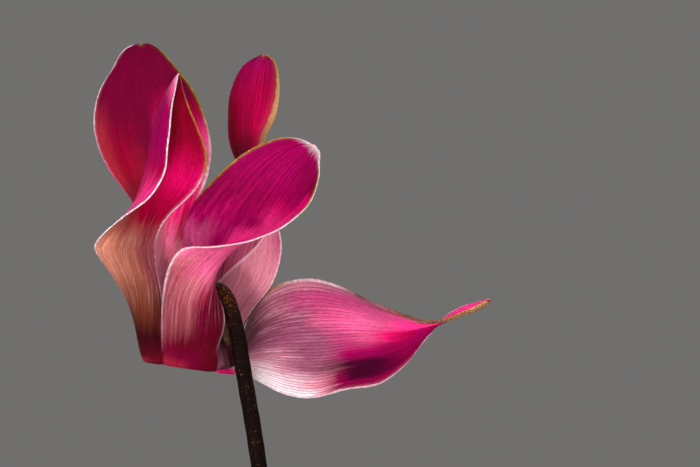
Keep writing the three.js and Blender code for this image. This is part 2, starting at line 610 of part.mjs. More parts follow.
const FLOWERS = [
  {
    name: "bloom_main",
    place: MAIN_BLOOM.toArray(),
    turn: 0,
    tilt: MAIN_BLOOM_TILT,
    petals: MAIN_PETALS,
    mesh: { columns: 5, steps: 17, sides: 15 },
    foot: { seatAzimuth: -50, leanAzimuth: 205, lean: 9 },
    way: [[-1.0, -7.0, 130], [-8.4, -10.0, 170], [-14.8, -12.0, 215]],
    hook: MAIN_HOOK.map((point) => vec(...point).add(MAIN_BLOOM)),
  },
  {
    name: "bloom_right",
    place: [66, -12, 194],
    turn: -100,
    tilt: 6,
    petals: PLAIN_PETALS.map((petal) => plainPetal(petal, 0.98, 3)),
    mesh: { columns: 3, steps: 9, sides: 10 },
    foot: { seatAzimuth: 12, leanAzimuth: 0, lean: 6 },
    way: [[11, 1, 140], [18, 0, 166], [32, -4, 181], [47, -8, 188]],
  },
  {
    name: "bloom_back",
    place: [-34, 54, 186],
    turn: 32,
    tilt: -5,
    petals: PLAIN_PETALS.map((petal) => plainPetal(petal, 0.92, 1)),
    mesh: { columns: 3, steps: 9, sides: 10 },
    foot: { seatAzimuth: 152, leanAzimuth: 125, lean: 6 },
    way: [[-8, 8, 138], [-12, 15, 162], [-18, 27, 174], [-25, 39, 180]],
  },
  {
    name: "bud_front",
    place: [-29, -54, 198],
    turn: 154,
    tilt: 12,
    foot: { seatAzimuth: 232, leanAzimuth: 243, lean: 8 },
    way: [[-8, -15, 150], [-13, -24, 174], [-20, -37, 190]],
  },
  {
    name: "bud_back",
    place: [-5, 49, 200],
    turn: 6,
    tilt: -8,
    foot: { seatAzimuth: 82, leanAzimuth: 96, lean: 7 },
    way: [[-2, 13, 140], [-5, 20, 166], [-5, 30, 186]],
  },
];

function flowerFoot(flower) {
  return stemFoot({ ...flower.foot, seatRadius: STEM_SEAT_RADIUS });
}

function flowerStemGeometry(flower) {
  const matrix = flowerMatrix(flower);
  const hook = flower.hook ?? toVectors(PLAIN_HOOK).map((point) => point.applyMatrix4(matrix));
  const path = [...flowerFoot(flower), ...toVectors(flower.way), ...hook];
  const stem = tube(path, STEM_RADIUS, STEM_RADIUS, path.length + 6, 5);
  const calyx = calyxGeometries(flower.petals ? PISTIL_PROFILE : BUD_CORE_PROFILE);
  return toGeometry(joined([stem, ...calyx.map((geometry) => geometry.applyMatrix4(matrix))]));
}

// --- The whole plant -----------------------------------------------------------------------------------

const group = new THREE.Group();

function addMesh(name, geometry, material) {
  const mesh = new THREE.Mesh(geometry, material);
  mesh.name = name;
  group.add(mesh);
  return mesh;
}

function crownHoles() {
  const stalks = LEAVES.map((leaf) => footHole(leafFoot(leaf), PETIOLE_BASE_RADIUS));
  const stems = FLOWERS.map((flower) => footHole(flowerFoot(flower), STEM_RADIUS));
  return [...stalks, ...stems];
}

addMesh("pot", potGeometry(), colours.terracotta);
addMesh("soil", soilGeometry(), colours.soil);
addMesh("tuber", toGeometry(cut(toSolid(tuberGeometry(0)), crownHoles())), colours.tuber);
for (const leaf of LEAVES) {
  addMesh(leaf.name, leafGeometry(leaf), colours.leaf);
}
for (const flower of FLOWERS) {
  addMesh(`${flower.name}_stem`, flowerStemGeometry(flower), colours.stem);
  if (flower.petals) {
    const { columns, steps, sides } = flower.mesh;
    // The main bloom's petals are drawn upright already, so only its tube is tilted.
    const tiltInside = flower.hook ? flower.tilt : 0;
    const corolla = corollaGeometry(flower.petals, tiltInside, columns, steps, sides);
    const mesh = addMesh(`${flower.name}_corolla`, corolla, colours.petal);
    mesh.applyMatrix4(flowerMatrix({ ...flower, tilt: flower.tilt - tiltInside }));
  } else {
    addMesh(flower.name, budGeometry(), colours.petal).applyMatrix4(flowerMatrix(flower));
  }
}

export default group;
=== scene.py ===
"""Potted cyclamen: the dressed plant. Plant points are in millimetres, and objects are in metres."""
import math

import bpy
import numpy as np
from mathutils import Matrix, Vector
from mathutils.geometry import delaunay_2d_cdt


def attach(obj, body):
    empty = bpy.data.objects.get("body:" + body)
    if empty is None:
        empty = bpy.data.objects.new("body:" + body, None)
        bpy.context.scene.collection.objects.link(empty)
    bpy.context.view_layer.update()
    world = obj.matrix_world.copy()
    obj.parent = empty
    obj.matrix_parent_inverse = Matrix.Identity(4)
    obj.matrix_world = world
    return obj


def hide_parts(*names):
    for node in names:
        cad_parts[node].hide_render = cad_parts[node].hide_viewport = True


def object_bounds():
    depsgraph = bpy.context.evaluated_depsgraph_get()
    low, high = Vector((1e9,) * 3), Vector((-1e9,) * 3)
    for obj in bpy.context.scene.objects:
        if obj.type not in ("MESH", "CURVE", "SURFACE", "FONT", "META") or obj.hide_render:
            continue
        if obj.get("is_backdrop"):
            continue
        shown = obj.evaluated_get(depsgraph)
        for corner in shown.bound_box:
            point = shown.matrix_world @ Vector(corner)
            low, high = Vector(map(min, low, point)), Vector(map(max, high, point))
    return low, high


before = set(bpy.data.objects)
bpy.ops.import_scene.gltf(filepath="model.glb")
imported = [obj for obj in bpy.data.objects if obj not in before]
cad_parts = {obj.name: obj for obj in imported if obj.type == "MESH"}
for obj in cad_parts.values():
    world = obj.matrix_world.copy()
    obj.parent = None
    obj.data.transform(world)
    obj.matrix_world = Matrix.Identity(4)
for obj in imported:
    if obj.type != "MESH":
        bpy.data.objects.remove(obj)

MM = 0.001
cad_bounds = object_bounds()

# --- Colours, each channel 0 to 255, some used as painted light or shade ---

PALETTE = {
    "black_red": (48, 4, 8), "maroon": (92, 4, 24), "umber": (112, 52, 30), "wine": (106, 0, 44),
    "plum": (80, 0, 42), "garnet": (152, 28, 50), "crimson": (178, 0, 64), "cerise": (222, 6, 100),
    "magenta": (158, 0, 82), "purple": (120, 6, 74), "hot_pink": (255, 48, 138),
    "rose": (226, 92, 134), "dusty": (196, 98, 112), "mauve": (190, 116, 138),
    "dusk": (118, 64, 78), "salmon": (214, 134, 108), "clay_pink": (150, 84, 66),
    "dull_rose": (136, 62, 70), "blush": (232, 188, 200), "white": (238, 222, 228),
    "claret": (106, 0, 42), "beet": (138, 0, 64), "rust": (156, 36, 50), "faded": (158, 68, 80),
    "orchid": (190, 66, 118), "night": (58, 0, 28), "shade": (214, 84, 128),
    "candy": (250, 98, 156), "ruby": (226, 0, 86), "ox_blood": (146, 0, 38),
    "pale_mauve": (222, 134, 154), "slate_rose": (150, 78, 106), "peach": (204, 124, 100),
    "soft_pink": (232, 118, 140), "olive": (164, 138, 28), "tan": (198, 150, 100),
    "brown": (120, 74, 58),
}


def linear(colour):
    """A colour's scene-linear value, with alpha."""
    if isinstance(colour, str):
        colour = PALETTE[colour]
    parts = [channel / 255 for channel in colour]
    return [p / 12.92 if p <= 0.04045 else ((p + 0.055) / 1.055) ** 2.4 for p in parts] + [1.0]


# --- Points, angles and curves ---------------------------------------------


def polar(degrees, radius, z):
    """A point at an angle round the Z axis, counted from +X towards +Y."""
    angle = math.radians(degrees)
    return np.array([radius * math.cos(angle), radius * math.sin(angle), z])


def round_bloom(azimuth, radius, z):
    """A point round a bloom's axis: azimuth 0 faces the front (-Y) and 90 the right (+X)."""
    angle = math.radians(azimuth)
    return np.array([radius * math.sin(angle), -radius * math.cos(angle), z])


def turn_y(degrees):
    """The rotation about +Y."""
    c, s = math.cos(math.radians(degrees)), math.sin(math.radians(degrees))
    return np.array([[c, 0, s], [0, 1, 0], [-s, 0, c]])


def turn_z(degrees):
    """The rotation about +Z."""
    c, s = math.cos(math.radians(degrees)), math.sin(math.radians(degrees))
    return np.array([[c, -s, 0], [s, c, 0], [0, 0, 1]])


def full_turn(count):
    """Even angles round a circle, in radians."""
    return np.arange(count) * 2 * math.pi / count


def unit(vectors):
    """Vectors of length one."""
    length = np.linalg.norm(vectors, axis=-1, keepdims=True)
    return vectors / np.maximum(length, 1e-9)


def flat(grid):
    """A grid of points, or of what they carry, as one list."""
    return grid.reshape(-1, grid.shape[-1])


def first_mark(values):
    """Marks for points that carry one number each."""
    return np.pad(np.reshape(values, (-1, 1)), ((0, 0), (0, 2)))


def catmull_rom(points, counts):
    """A smooth curve through the points, with a number of steps for each span between two of them."""
    points = np.asarray(points, float)
    padded = np.concatenate([[2 * points[0] - points[1]], points, [2 * points[-1] - points[-2]]])
    pieces = []
    for span, count in enumerate(counts):
        a, b, c, d = padded[span:span + 4]
        t = np.linspace(0, 1, count, endpoint=False).reshape((-1,) + (1,) * a.ndim)
        along = 2 * b + (c - a) * t + (2 * a - 5 * b + 4 * c - d) * t**2
        pieces.append((along + (3 * b - a - 3 * c + d) * t**3) / 2)
    return np.concatenate(pieces + [points[-1:]])


def relaxed(rows, passes):
    """Rows smoothed along their first axis, with both ends kept."""
    rows = rows.copy()
    for _ in range(passes):
        rows[1:-1] = (rows[:-2] + 2 * rows[1:-1] + rows[2:]) / 4
    return rows


def smoothstep(low, high, value):
    """Eases from 0 at low to 1 at high."""
    t = np.clip((value - low) / (high - low), 0, 1)
    return t * t * (3 - 2 * t)


# --- Closed meshes ---------------------------------------------------------

PATH_SAMPLES = 24
FEWEST_STEPS = 4
FIRST_SIDE = (0.3, 0.9, 0.1)


def add_object(name, data):
    """Puts an object with this mesh, lamp or camera into the scene."""
    made = bpy.data.objects.new(name, data)
    bpy.context.scene.collection.objects.link(made)
    return made


class Shell:
    """A mesh being put together, in millimetres, with UVs and three marks for shading at each point."""

    def __init__(self):
        self.points = []
        self.faces = []
        self.materials = []
        self.uvs = []
        self.marks = []
        self.count = 0

    def add(self, points, faces, material, uvs=None, marks=None):
        """Adds a closed form. material is one index, or one for each face."""
        points = np.asarray(points, float).reshape(-1, 3)
        self.points.append(points)
        self.faces += [tuple(int(i) + self.count for i in face) for face in faces]
        self.materials += [material] * len(faces) if isinstance(material, int) else material
        self.uvs.append(np.zeros((len(points), 2)) if uvs is None else uvs)
        self.marks.append(np.zeros((len(points), 3)) if marks is None else marks)
        self.count += len(points)

    def build(self, name, materials, node):
        """Makes the object, which rides on the plant and stands for a CAD node."""
        mesh = bpy.data.meshes.new(name)
        mesh.from_pydata((np.concatenate(self.points) * MM).tolist(), [], self.faces)
        mesh.polygons.foreach_set("material_index", self.materials)
        mesh.polygons.foreach_set("use_smooth", [True] * len(self.faces))
        corners = np.empty(len(mesh.loops), np.int32)
        mesh.loops.foreach_get("vertex_index", corners)
        uvs = np.concatenate(self.uvs)[corners].astype(np.float32)
        mesh.uv_layers.new(name="along").data.foreach_set("uv", uvs.ravel())
        marks = np.concatenate(self.marks).astype(np.float32)
        mesh.attributes.new("marks", "FLOAT_VECTOR", "POINT").data.foreach_set("vector", marks.ravel())
        mesh.update()
        for material in materials:
            mesh.materials.append(material)
        piece = add_object(name, mesh)
        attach(piece, "root")
        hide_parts(node)


def grid_faces(rows, columns, wrap, start=0, flip=False):
    """Four-sided faces over a grid of points. A wrapped grid closes round its columns."""
    faces = []
    for row in range(rows - 1):
        for column in range(columns if wrap else columns - 1):
            a = start + row * columns + column
            b = start + row * columns + (column + 1) % columns
            face = (a, b, b + columns, a + columns)
            faces.append(face[::-1] if flip else face)
    return faces


def surface_normals(surface, wrap=False):
    """The unit normal at each point of a grid: across its columns, turned towards its rows."""
    if wrap:
        across = np.roll(surface, -1, axis=1) - np.roll(surface, 1, axis=1)
    else:
        across = np.gradient(surface, axis=1)
    return unit(np.cross(across, np.gradient(surface, axis=0)))


def sheet(surface, thickness, wrap=False):
    """A closed thin sheet on both sides of a grid of points: its points and its faces by side."""
    rows, columns = surface.shape[:2]
    half = np.broadcast_to(thickness, (rows, columns))[..., None] / 2
    offset = surface_normals(surface, wrap) * half
    points = np.concatenate([flat(surface + offset), flat(surface - offset)])
    under = rows * columns
    front = grid_faces(rows, columns, wrap)
    back = grid_faces(rows, columns, wrap, under, flip=True)
    first = list(range(columns))
    last = [(rows - 1) * columns + column for column in first]
    if wrap:
        loops = [first[::-1], last]
    else:
        right = [row * columns + columns - 1 for row in range(1, rows)]
        left = [row * columns for row in range(rows - 2, 0, -1)]
        loops = [first + right + last[-2::-1] + left]
    edge = []
    for loop in loops:
        for a, b in zip(loop, loop[1:] + loop[:1]):
            edge.append((a, b, b + under, a + under) if wrap else (b, a, a + under, b + under))
    return points, front, back, edge


def skin(rings, start, end):
    """A closed skin over rings of points, with a point at each end."""
    rows, columns = rings.shape[:2]
    points = np.concatenate([flat(rings), [start], [end]])
    faces = grid_faces(rows, columns, True)
    last = (rows - 1) * columns
    for column in range(columns):
        after = (column + 1) % columns
        faces.append((rows * columns, after, column))
        faces.append((rows * columns + 1, last + column, last + after))
    return points, faces


def level_ring(radius, z, sides):
    """A ring of points about the Z axis, at one height. radius may differ from point to point."""
    angles = full_turn(sides)
    return np.stack([radius * np.cos(angles), radius * np.sin(angles), z + 0 * angles], axis=-1)


def turned_rings(profile, sides):
    """Rings about the Z axis from a profile of (radius, height) pairs."""
    return np.array([level_ring(radius, z, sides) for radius, z in profile])


def even_path(points, step):
    """Points at even distances along a smooth curve, and those distances."""
    dense = catmull_rom(points, [PATH_SAMPLES] * (len(points) - 1))
    length = np.concatenate([[0], np.cumsum(np.linalg.norm(np.diff(dense, axis=0), axis=1))])
    stops = np.linspace(0, length[-1], max(FEWEST_STEPS, int(length[-1] / step)))
    path = np.stack([np.interp(stops, length, dense[:, axis]) for axis in range(3)], axis=1)
    return relaxed(path, 2), stops


def tube_rings(path, radii):
    """Rings round a path, carried along it without twisting. Each of its points has a row of radii."""
    tangents = unit(np.gradient(path, axis=0))
    side = unit(np.cross(tangents[0], FIRST_SIDE))
    angles = full_turn(radii.shape[1])
    rings = []
    for centre, tangent, around in zip(path, tangents, radii):
        side = unit(side - tangent * np.dot(side, tangent))
        circle = np.outer(np.cos(angles), side) + np.outer(np.sin(angles), np.cross(tangent, side))
        rings.append(centre + circle * around[:, None])
    return np.array(rings)


# --- Shader building blocks ------------------------------------------------


class Shader:
    """A material whose nodes are made and joined by short calls."""

    def __init__(self, name, roughness, specular):
        self.material = bpy.data.materials.new(name)
        self.material.use_nodes = True
        self.tree = self.material.node_tree
        self.surface = self.tree.nodes["Principled BSDF"]
        self.surface.inputs["Roughness"].default_value = roughness
        self.surface.inputs["Specular IOR Level"].default_value = specular

    def put(self, socket, value):
        """Joins a value to a socket, or sets it there when it is a plain number or colour."""
        if isinstance(value, bpy.types.NodeSocket):
            self.tree.links.new(value, socket)
        else:
            socket.default_value = value

    def node(self, kind, inputs=(), output=0, **settings):
        """Adds a node, sets it, and gives back one of its outputs."""
        made = self.tree.nodes.new(kind)
        for key, value in settings.items():
            setattr(made, key, value)
        for key, value in dict(inputs).items():
            self.put(made.inputs[key], value)
        return made.outputs[output]

    def math(self, operation, a, b=0.0):
        """A working of two numbers."""
        return self.node("ShaderNodeMath", {0: a, 1: b}, operation=operation)

    def plus(self, a, b):
        """The sum of two numbers."""
        return self.math("ADD", a, b)

    def minus(self, a, b):
        """The difference of two numbers."""
        return self.math("SUBTRACT", a, b)

    def times(self, a, b):
        """The product of two numbers."""
        return self.math("MULTIPLY", a, b)

    def ease(self, value, low, high, start=0.0, end=1.0):
        """Eases from start at low to end at high."""
        inputs = {"Value": value, "From Min": low, "From Max": high, "To Min": start, "To Max": end}
        return self.node("ShaderNodeMapRange", inputs, interpolation_type="SMOOTHSTEP")

    def mix(self, factor, a, b):
        """Blends colour a into colour b."""
        a = linear(a) if isinstance(a, (str, tuple)) else a
        b = linear(b) if isinstance(b, (str, tuple)) else b
        return self.node("ShaderNodeMix", {0: factor, 6: a, 7: b}, output=2, data_type="RGBA")

    def scaled(self, colour, factor):
        """A colour made darker or lighter by a factor."""
        return self.node("ShaderNodeVectorMath", {0: colour, 3: factor}, operation="SCALE")

    def ramp(self, value, stops):
        """A colour that changes along a value, from (position, colour) stops."""
        found = self.node("ShaderNodeValToRGB", {0: value})
        elements = found.node.color_ramp.elements
        while len(elements) < len(stops):
            elements.new(0.5)
        for element, (position, colour) in zip(elements, stops):
            element.position = position
            element.color = linear(colour)
        return found

    def place(self, source="Object"):
        """The point's place, by texture coordinate."""
        return self.node("ShaderNodeTexCoord", output=source)

    def split(self, vector):
        """The three parts of a vector."""
        return self.node("ShaderNodeSeparateXYZ", {0: vector}).node.outputs

    def marks(self):
        """The three numbers that a mesh carries for its points."""
        return self.split(self.node("ShaderNodeAttribute", output="Vector", attribute_name="marks"))

    def noise(self, vector, scale, detail=3.0, roughness=0.55, distortion=0.0):
        """A cloudy value from 0 to 1 that averages a half."""
        inputs = {"Vector": vector, "Scale": scale, "Detail": detail}
        inputs.update({"Roughness": roughness, "Distortion": distortion})
        return self.node("ShaderNodeTexNoise", inputs)

    def grain(self, u, v, scale_u, scale_v, seed=0.0, *settings):
        """Noise that is stretched over a face, with a scale for each of its two directions."""
        inputs = {0: self.times(u, scale_u), 1: self.times(v, scale_v), 2: seed}
        return self.noise(self.node("ShaderNodeCombineXYZ", inputs), 1.0, *settings)

    def stray(self, value, noise, amount):
        """A value pushed about by a noise."""
        return self.plus(value, self.times(self.minus(noise, 0.5), amount))

    def colour(self, value):
        """Sets the surface colour."""
        value = linear(value) if isinstance(value, tuple) else value
        self.put(self.surface.inputs["Base Color"], value)

    def bump(self, height, distance, strength):
        """Roughens the surface by a height."""
        inputs = {"Height": height, "Distance": distance, "Strength": strength}
        self.put(self.surface.inputs["Normal"], self.node("ShaderNodeBump", inputs))


def speckled(name, roughness, specular, noise, eased, low, high, bump):
    """A material of two colours, mixed and roughened by one noise."""
    shader = Shader(name, roughness, specular)
    speckle = shader.noise(shader.place(), *noise)
    shader.colour(shader.mix(shader.ease(speckle, *eased), low, high))
    shader.bump(speckle, *bump)
    return shader.material


# --- Petals ----------------------------------------------------------------

# The main bloom's petals, each with its azimuth, its rows from the foot to the tip, and its tip. A row
# crosses the petal from its left margin over its middle to its right margin, as seen from outside the
# bloom at the petal's foot.
MAIN_PETALS = {
    "front": (0, [
        [[-4.9, -7.6, 2.5], [0.4, -9.6, 2.2], [4.9, -8.2, 2.2]],
        [[-5.0, -9.0, 6.5], [1.3, -12.0, 6.5], [6.4, -8.6, 7.0]],
        [[-4.8, -12.0, 11.9], [2.0, -13.5, 12.2], [5.6, -8.0, 11.5]],
        [[-3.7, -15.0, 17.3], [4.3, -12.5, 16.7], [2.5, -5.0, 16.6]],
        [[-1.1, -17.0, 20.8], [7.7, -11.0, 20.7], [-0.7, -2.0, 21.1]],
        [[4.7, -18.0, 21.2], [11.0, -9.5, 22.9], [-1.3, 0.0, 24.5]],
        [[10.6, -17.5, 22.1], [13.5, -7.5, 25.6], [0.4, 0.6, 28.8]],
        [[16.0, -16.0, 24.3], [16.0, -6.0, 29.2], [4.9, -1.0, 33.9]],
        [[20.7, -13.5, 27.7], [18.5, -6.0, 32.8], [10.1, -3.0, 38.2]],
        [[22.9, -11.0, 32.0], [20.9, -7.0, 36.4], [16.2, -5.0, 40.7]],
        [[23.4, -9.5, 36.2], [22.7, -8.0, 38.5], [20.5, -7.0, 40.3]],
    ], [23.0, -8.5, 38.5]),
    "left": (-72, [
        [[-8.6, 2.6, 4.0], [-8.5, -3.8, 3.2], [-4.5, -6.6, 2.5]],
        [[-9.7, 1.8, 7.6], [-8.8, -5.0, 7.0], [-4.3, -6.3, 6.5]],
        [[-12.2, 0.0, 13.0], [-8.8, -6.2, 12.1], [-4.9, -5.0, 12.1]],
        [[-15.1, -3.5, 17.6], [-9.9, -7.0, 16.6], [-5.9, -3.5, 16.6]],
        [[-17.1, -7.0, 20.5], [-11.2, -7.5, 20.5], [-6.3, -2.5, 19.8]],
        [[-16.0, -9.5, 22.7], [-10.1, -6.0, 24.1], [-5.8, -1.8, 23.8]],
        [[-12.2, -12.5, 25.9], [-8.6, -4.5, 28.1], [-2.9, -2.0, 27.5]],
        [[-7.6, -14.0, 29.3], [-7.7, -3.5, 32.4], [0.9, -2.6, 31.0]],
        [[-4.3, -14.5, 33.8], [-6.8, -4.0, 37.4], [2.9, -2.4, 34.9]],
        [[-3.8, -13.0, 38.5], [-5.9, -4.0, 42.1], [2.9, -2.4, 38.5]],
        [[-3.2, -11.5, 43.9], [-4.9, -5.0, 46.6], [1.3, -3.0, 42.8]],
        [[-2.5, -9.0, 49.0], [-3.2, -5.5, 50.0], [-0.5, -4.5, 46.8]],
    ], [-1.8, -7.0, 52.4]),
    "back_left": (-144, [
        [[0.0, 9.4, 2.5], [-5.4, 8.2, 3.1], [-7.7, 3.6, 4.0]],
        [[-1.4, 11.0, 7.0], [-5.8, 9.6, 6.5], [-7.6, 4.0, 6.5]],
        [[-4.7, 13.5, 13.3], [-6.8, 10.0, 12.1], [-5.8, 4.0, 11.5]],
        [[-7.2, 15.0, 19.3], [-6.7, 9.0, 17.8], [-2.2, 3.2, 18.0]],
        [[-9.0, 14.5, 24.5], [-6.3, 8.5, 22.9], [-0.3, 4.0, 23.4]],
        [[-10.4, 14.0, 28.8], [-5.9, 8.5, 28.3], [1.0, 4.6, 29.0]],
        [[-13.5, 13.0, 32.9], [-6.5, 8.5, 33.8], [2.9, 5.6, 33.1]],
        [[-16.7, 12.5, 38.3], [-7.6, 8.6, 40.3], [3.8, 6.8, 38.2]],
        [[-17.8, 12.0, 43.9], [-8.3, 9.2, 45.7], [3.1, 8.0, 43.0]],
        [[-16.7, 12.0, 49.3], [-8.8, 10.2, 51.1], [0.9, 9.0, 48.8]],
        [[-14.2, 12.0, 53.6], [-8.8, 11.0, 55.1], [-3.2, 10.5, 54.2]],
        [[-12.2, 12.5, 56.8], [-9.2, 12.0, 57.5], [-6.2, 12.0, 57.2]],
    ], [-9.2, 12.4, 57.9]),
    "back_right": (144, [
        [[8.5, 3.4, 2.0], [5.4, 7.8, 1.6], [0.5, 9.4, 2.2]],
        [[9.0, 4.2, 5.6], [5.8, 8.6, 5.2], [1.8, 9.2, 5.2]],
        [[11.2, 6.0, 9.7], [7.6, 9.0, 10.6], [3.6, 7.5, 10.6]],
        [[14.6, 8.0, 13.9], [9.9, 9.0, 14.6], [4.0, 6.0, 14.6]],
        [[16.4, 10.0, 19.6], [11.6, 9.2, 19.8], [5.2, 4.6, 20.2]],
        [[16.0, 12.5, 24.1], [12.4, 9.4, 24.5], [8.6, 4.0, 24.6]],
        [[13.0, 16.0, 29.5], [12.2, 9.6, 29.0], [12.6, 4.0, 28.6]],
        [[9.4, 18.0, 34.0], [11.2, 10.0, 34.6], [14.0, 4.0, 33.1]],
        [[7.2, 19.0, 38.9], [10.4, 11.0, 40.0], [13.0, 5.0, 39.2]],
        [[6.5, 19.0, 44.3], [10.8, 12.0, 45.4], [15.1, 6.5, 43.9]],
        [[7.2, 18.0, 49.7], [11.5, 13.0, 50.8], [16.2, 8.5, 49.3]],
        [[9.4, 16.5, 54.0], [12.6, 14.0, 55.0], [15.5, 11.5, 54.3]],
    ], [13.2, 14.5, 56.0]),
    "right": (72, [
        [[8.3, -6.8, -1.6], [9.7, -1.2, 1.4], [9.2, 6.5, 3.8]],
        [[12.1, -7.2, -2.9], [13.1, -2.2, 2.7], [11.6, 8.5, 10.7]],
        [[16.6, -7.7, -5.2], [18.0, -4.2, 3.2], [16.4, 7.0, 14.5]],
        [[22.0, -7.8, -6.1], [23.4, -6.0, 3.4], [22.0, 4.0, 15.4]],
        [[27.9, -7.4, -4.5], [28.8, -6.8, 4.0], [27.9, 0.5, 13.7]],
        [[33.8, -6.4, -3.8], [34.2, -6.6, 4.3], [33.8, -2.0, 10.8]],
        [[38.7, -5.0, -0.2], [39.1, -5.8, 4.9], [39.1, -4.8, 8.8]],
        [[42.3, -4.0, 4.3], [42.8, -5.0, 6.5], [43.4, -6.3, 7.8]],
        [[45.2, -3.5, 8.1], [46.3, -5.5, 8.1], [46.8, -7.0, 8.3]],
        [[48.6, -2.5, 10.3], [49.7, -5.0, 9.5], [50.4, -6.5, 9.4]],
        [[52.2, -3.5, 11.3], [52.7, -5.0, 11.0], [53.3, -6.0, 10.8]],
    ], [54.2, -5.0, 11.5]),
}

# A petal of the other blooms, at points up its length: how far out and how high its middle is, half its
# breadth, and how far it has twisted.
PETAL_STATIONS = [
    (9.2, 2.5, 5.0, 0), (10.0, 7.0, 4.4, 10), (10.8, 13.0, 4.8, 30), (11.6, 22.0, 7.6, 58),
    (13.0, 33.0, 9.6, 80), (15.0, 43.0, 7.4, 95), (16.6, 49.0, 3.4, 102),
]
PETAL_TIP_OUT = 17.4
PETAL_TIP_UP = 51.5

# The azimuths of the other blooms' petals. Those next to the stem sway aside to let it pass.
PLAIN_PETALS = [(36, 13), (108, 4), (180, 0), (-108, -4), (-36, -13)]

# The middle of the petals' wall through the tube and round the lip of the mouth, as (radius, height).
THROAT = [
    (2.9, 8.3), (4.2, 7.6), (5.0, 5.4), (6.1, 2.6), (7.0, 0.6), (7.4, -0.5), (8.1, -0.95), (8.75, 0.1),
]
THROAT_ROWS = len(THROAT)
THROAT_STEPS = 3
HALF_PETAL_ANGLE = 36.5
PETAL_THICKNESS = 0.5
THIN_MARGIN = 1.6

# How finely the petals are made: columns across a petal, and steps from one of its rows to the next.
MAIN_PETAL_GRID = (46, 11)
PLAIN_PETAL_GRID = (26, 9)

# How deep the waves along a petal's margins are, and its ribs.
MAIN_RELIEF = (0.07, 0.02)
RIGHT_RELIEF = (0.07, 0.05)
PLAIN_RELIEF = (0.12, 0.04)
RIBS_ACROSS = 11
SWAY_HEIGHT = 7


def plain_petal(azimuth, sway, length, flare):
    """The rows and tip of a petal that stands up, twists a quarter turn and flares a little."""
    rows = []
    for out, up, half, twist in PETAL_STATIONS:
        turn = azimuth + sway * min(1, up / SWAY_HEIGHT)
        outward = round_bloom(turn, 1, 0)
        sideways = round_bloom(turn + 90, 1, 0)
        c, s = math.cos(math.radians(twist)), math.sin(math.radians(twist))
        middle = outward * (out + flare * (up / PETAL_TIP_UP) ** 2) + [0, 0, up * length]
        across = sideways * c - outward * s
        facing = outward * c + sideways * s
        rows.append([middle - across * half, middle + facing * 0.2 * half, middle + across * half])
    tip = round_bloom(azimuth + sway, PETAL_TIP_OUT + flare, PETAL_TIP_UP * length)
    return azimuth, rows, tip


def petal_surface(petal, tilt, columns, steps):
    """A petal's grid of points from inside the tube to its tip, with its place across and along."""
    azimuth, rows, tip = petal
    lean = turn_y(tilt).T
    sides = (-HALF_PETAL_ANGLE, 0, HALF_PETAL_ANGLE)
    throat = [[round_bloom(azimuth + side, radius, z) @ lean for side in sides] for radius, z in THROAT]
    controls = np.array(throat + rows + [[tip] * 3], float)
    counts = [THROAT_STEPS] * THROAT_ROWS + [steps] * len(rows)
    lines = relaxed(catmull_rom(controls, counts), steps)
    along = np.interp(np.arange(len(lines)), np.cumsum([0] + counts), np.arange(len(controls)))
    left, middle, right = (lines[:-1, side:side + 1] for side in range(3))
    pull = 2 * middle - (left + right) / 2
    across = np.linspace(0, 1, columns + 1)
    u = across[:, None]
    surface = (1 - u) ** 2 * left + 2 * u * (1 - u) * pull + u**2 * right
    return surface, across, along[:-1, None] / (len(controls) - 1)


def margin_distance(surface):
    """How far each point of a petal is from its nearest margin or from its tip."""
    steps = np.linalg.norm(np.diff(surface, axis=1), axis=2)
    from_left = np.pad(np.cumsum(steps, axis=1), ((0, 0), (1, 0)))
    from_right = from_left[:, -1:] - from_left
    from_tip = np.linalg.norm(surface - surface[-1].mean(axis=0), axis=2)
    return np.minimum(np.minimum(from_left, from_right), from_tip)


def textured_petal(surface, u, v, ripple, rib, phase):
    """A petal's surface with its fine ribs, soft folds and waved margins."""
    normals = surface_normals(surface)
    near = np.exp(-margin_distance(surface) / 2.2)
    ribs = rib * np.sin(2 * math.pi * RIBS_ACROSS * u + 2 * np.sin(9 * v + phase))
    folds = 0.16 * np.sin(2 * math.pi * (2.3 * u + 0.8 * v) + phase) * np.sin(7 * v + 2 * phase)
    waves = ripple * near * (np.sin(58 * v + phase) + 0.6 * np.sin(97 * v + 2 * phase + 4 * u))
    relief = ribs * smoothstep(0.3, 0.5, v) + smoothstep(0.42, 0.62, v) * (folds + waves)
    return surface + normals * relief[..., None]


def add_petal(shell, petal, tilt, grid, faces, relief, phase, place):
    """Adds one petal to a corolla. The face that looks out at the foot has the first material."""
    surface, across, along = petal_surface(petal, tilt, *grid)
    surface = textured_petal(surface, across, along, *relief, phase)
    margin = margin_distance(surface)
    thickness = PETAL_THICKNESS * (0.35 + 0.65 * smoothstep(0, THIN_MARGIN, margin))
    points, front, back, edge = sheet(place(surface), thickness)
    uvs = flat(np.stack(np.broadcast_arrays(across, along), axis=-1))
    marks = first_mark(margin)
    outer, inner = faces
    materials = [outer] * (len(front) + len(edge)) + [inner] * len(back)
    shell.add(points, front + edge + back, materials, np.tile(uvs, (2, 1)), np.tile(marks, (2, 1)))
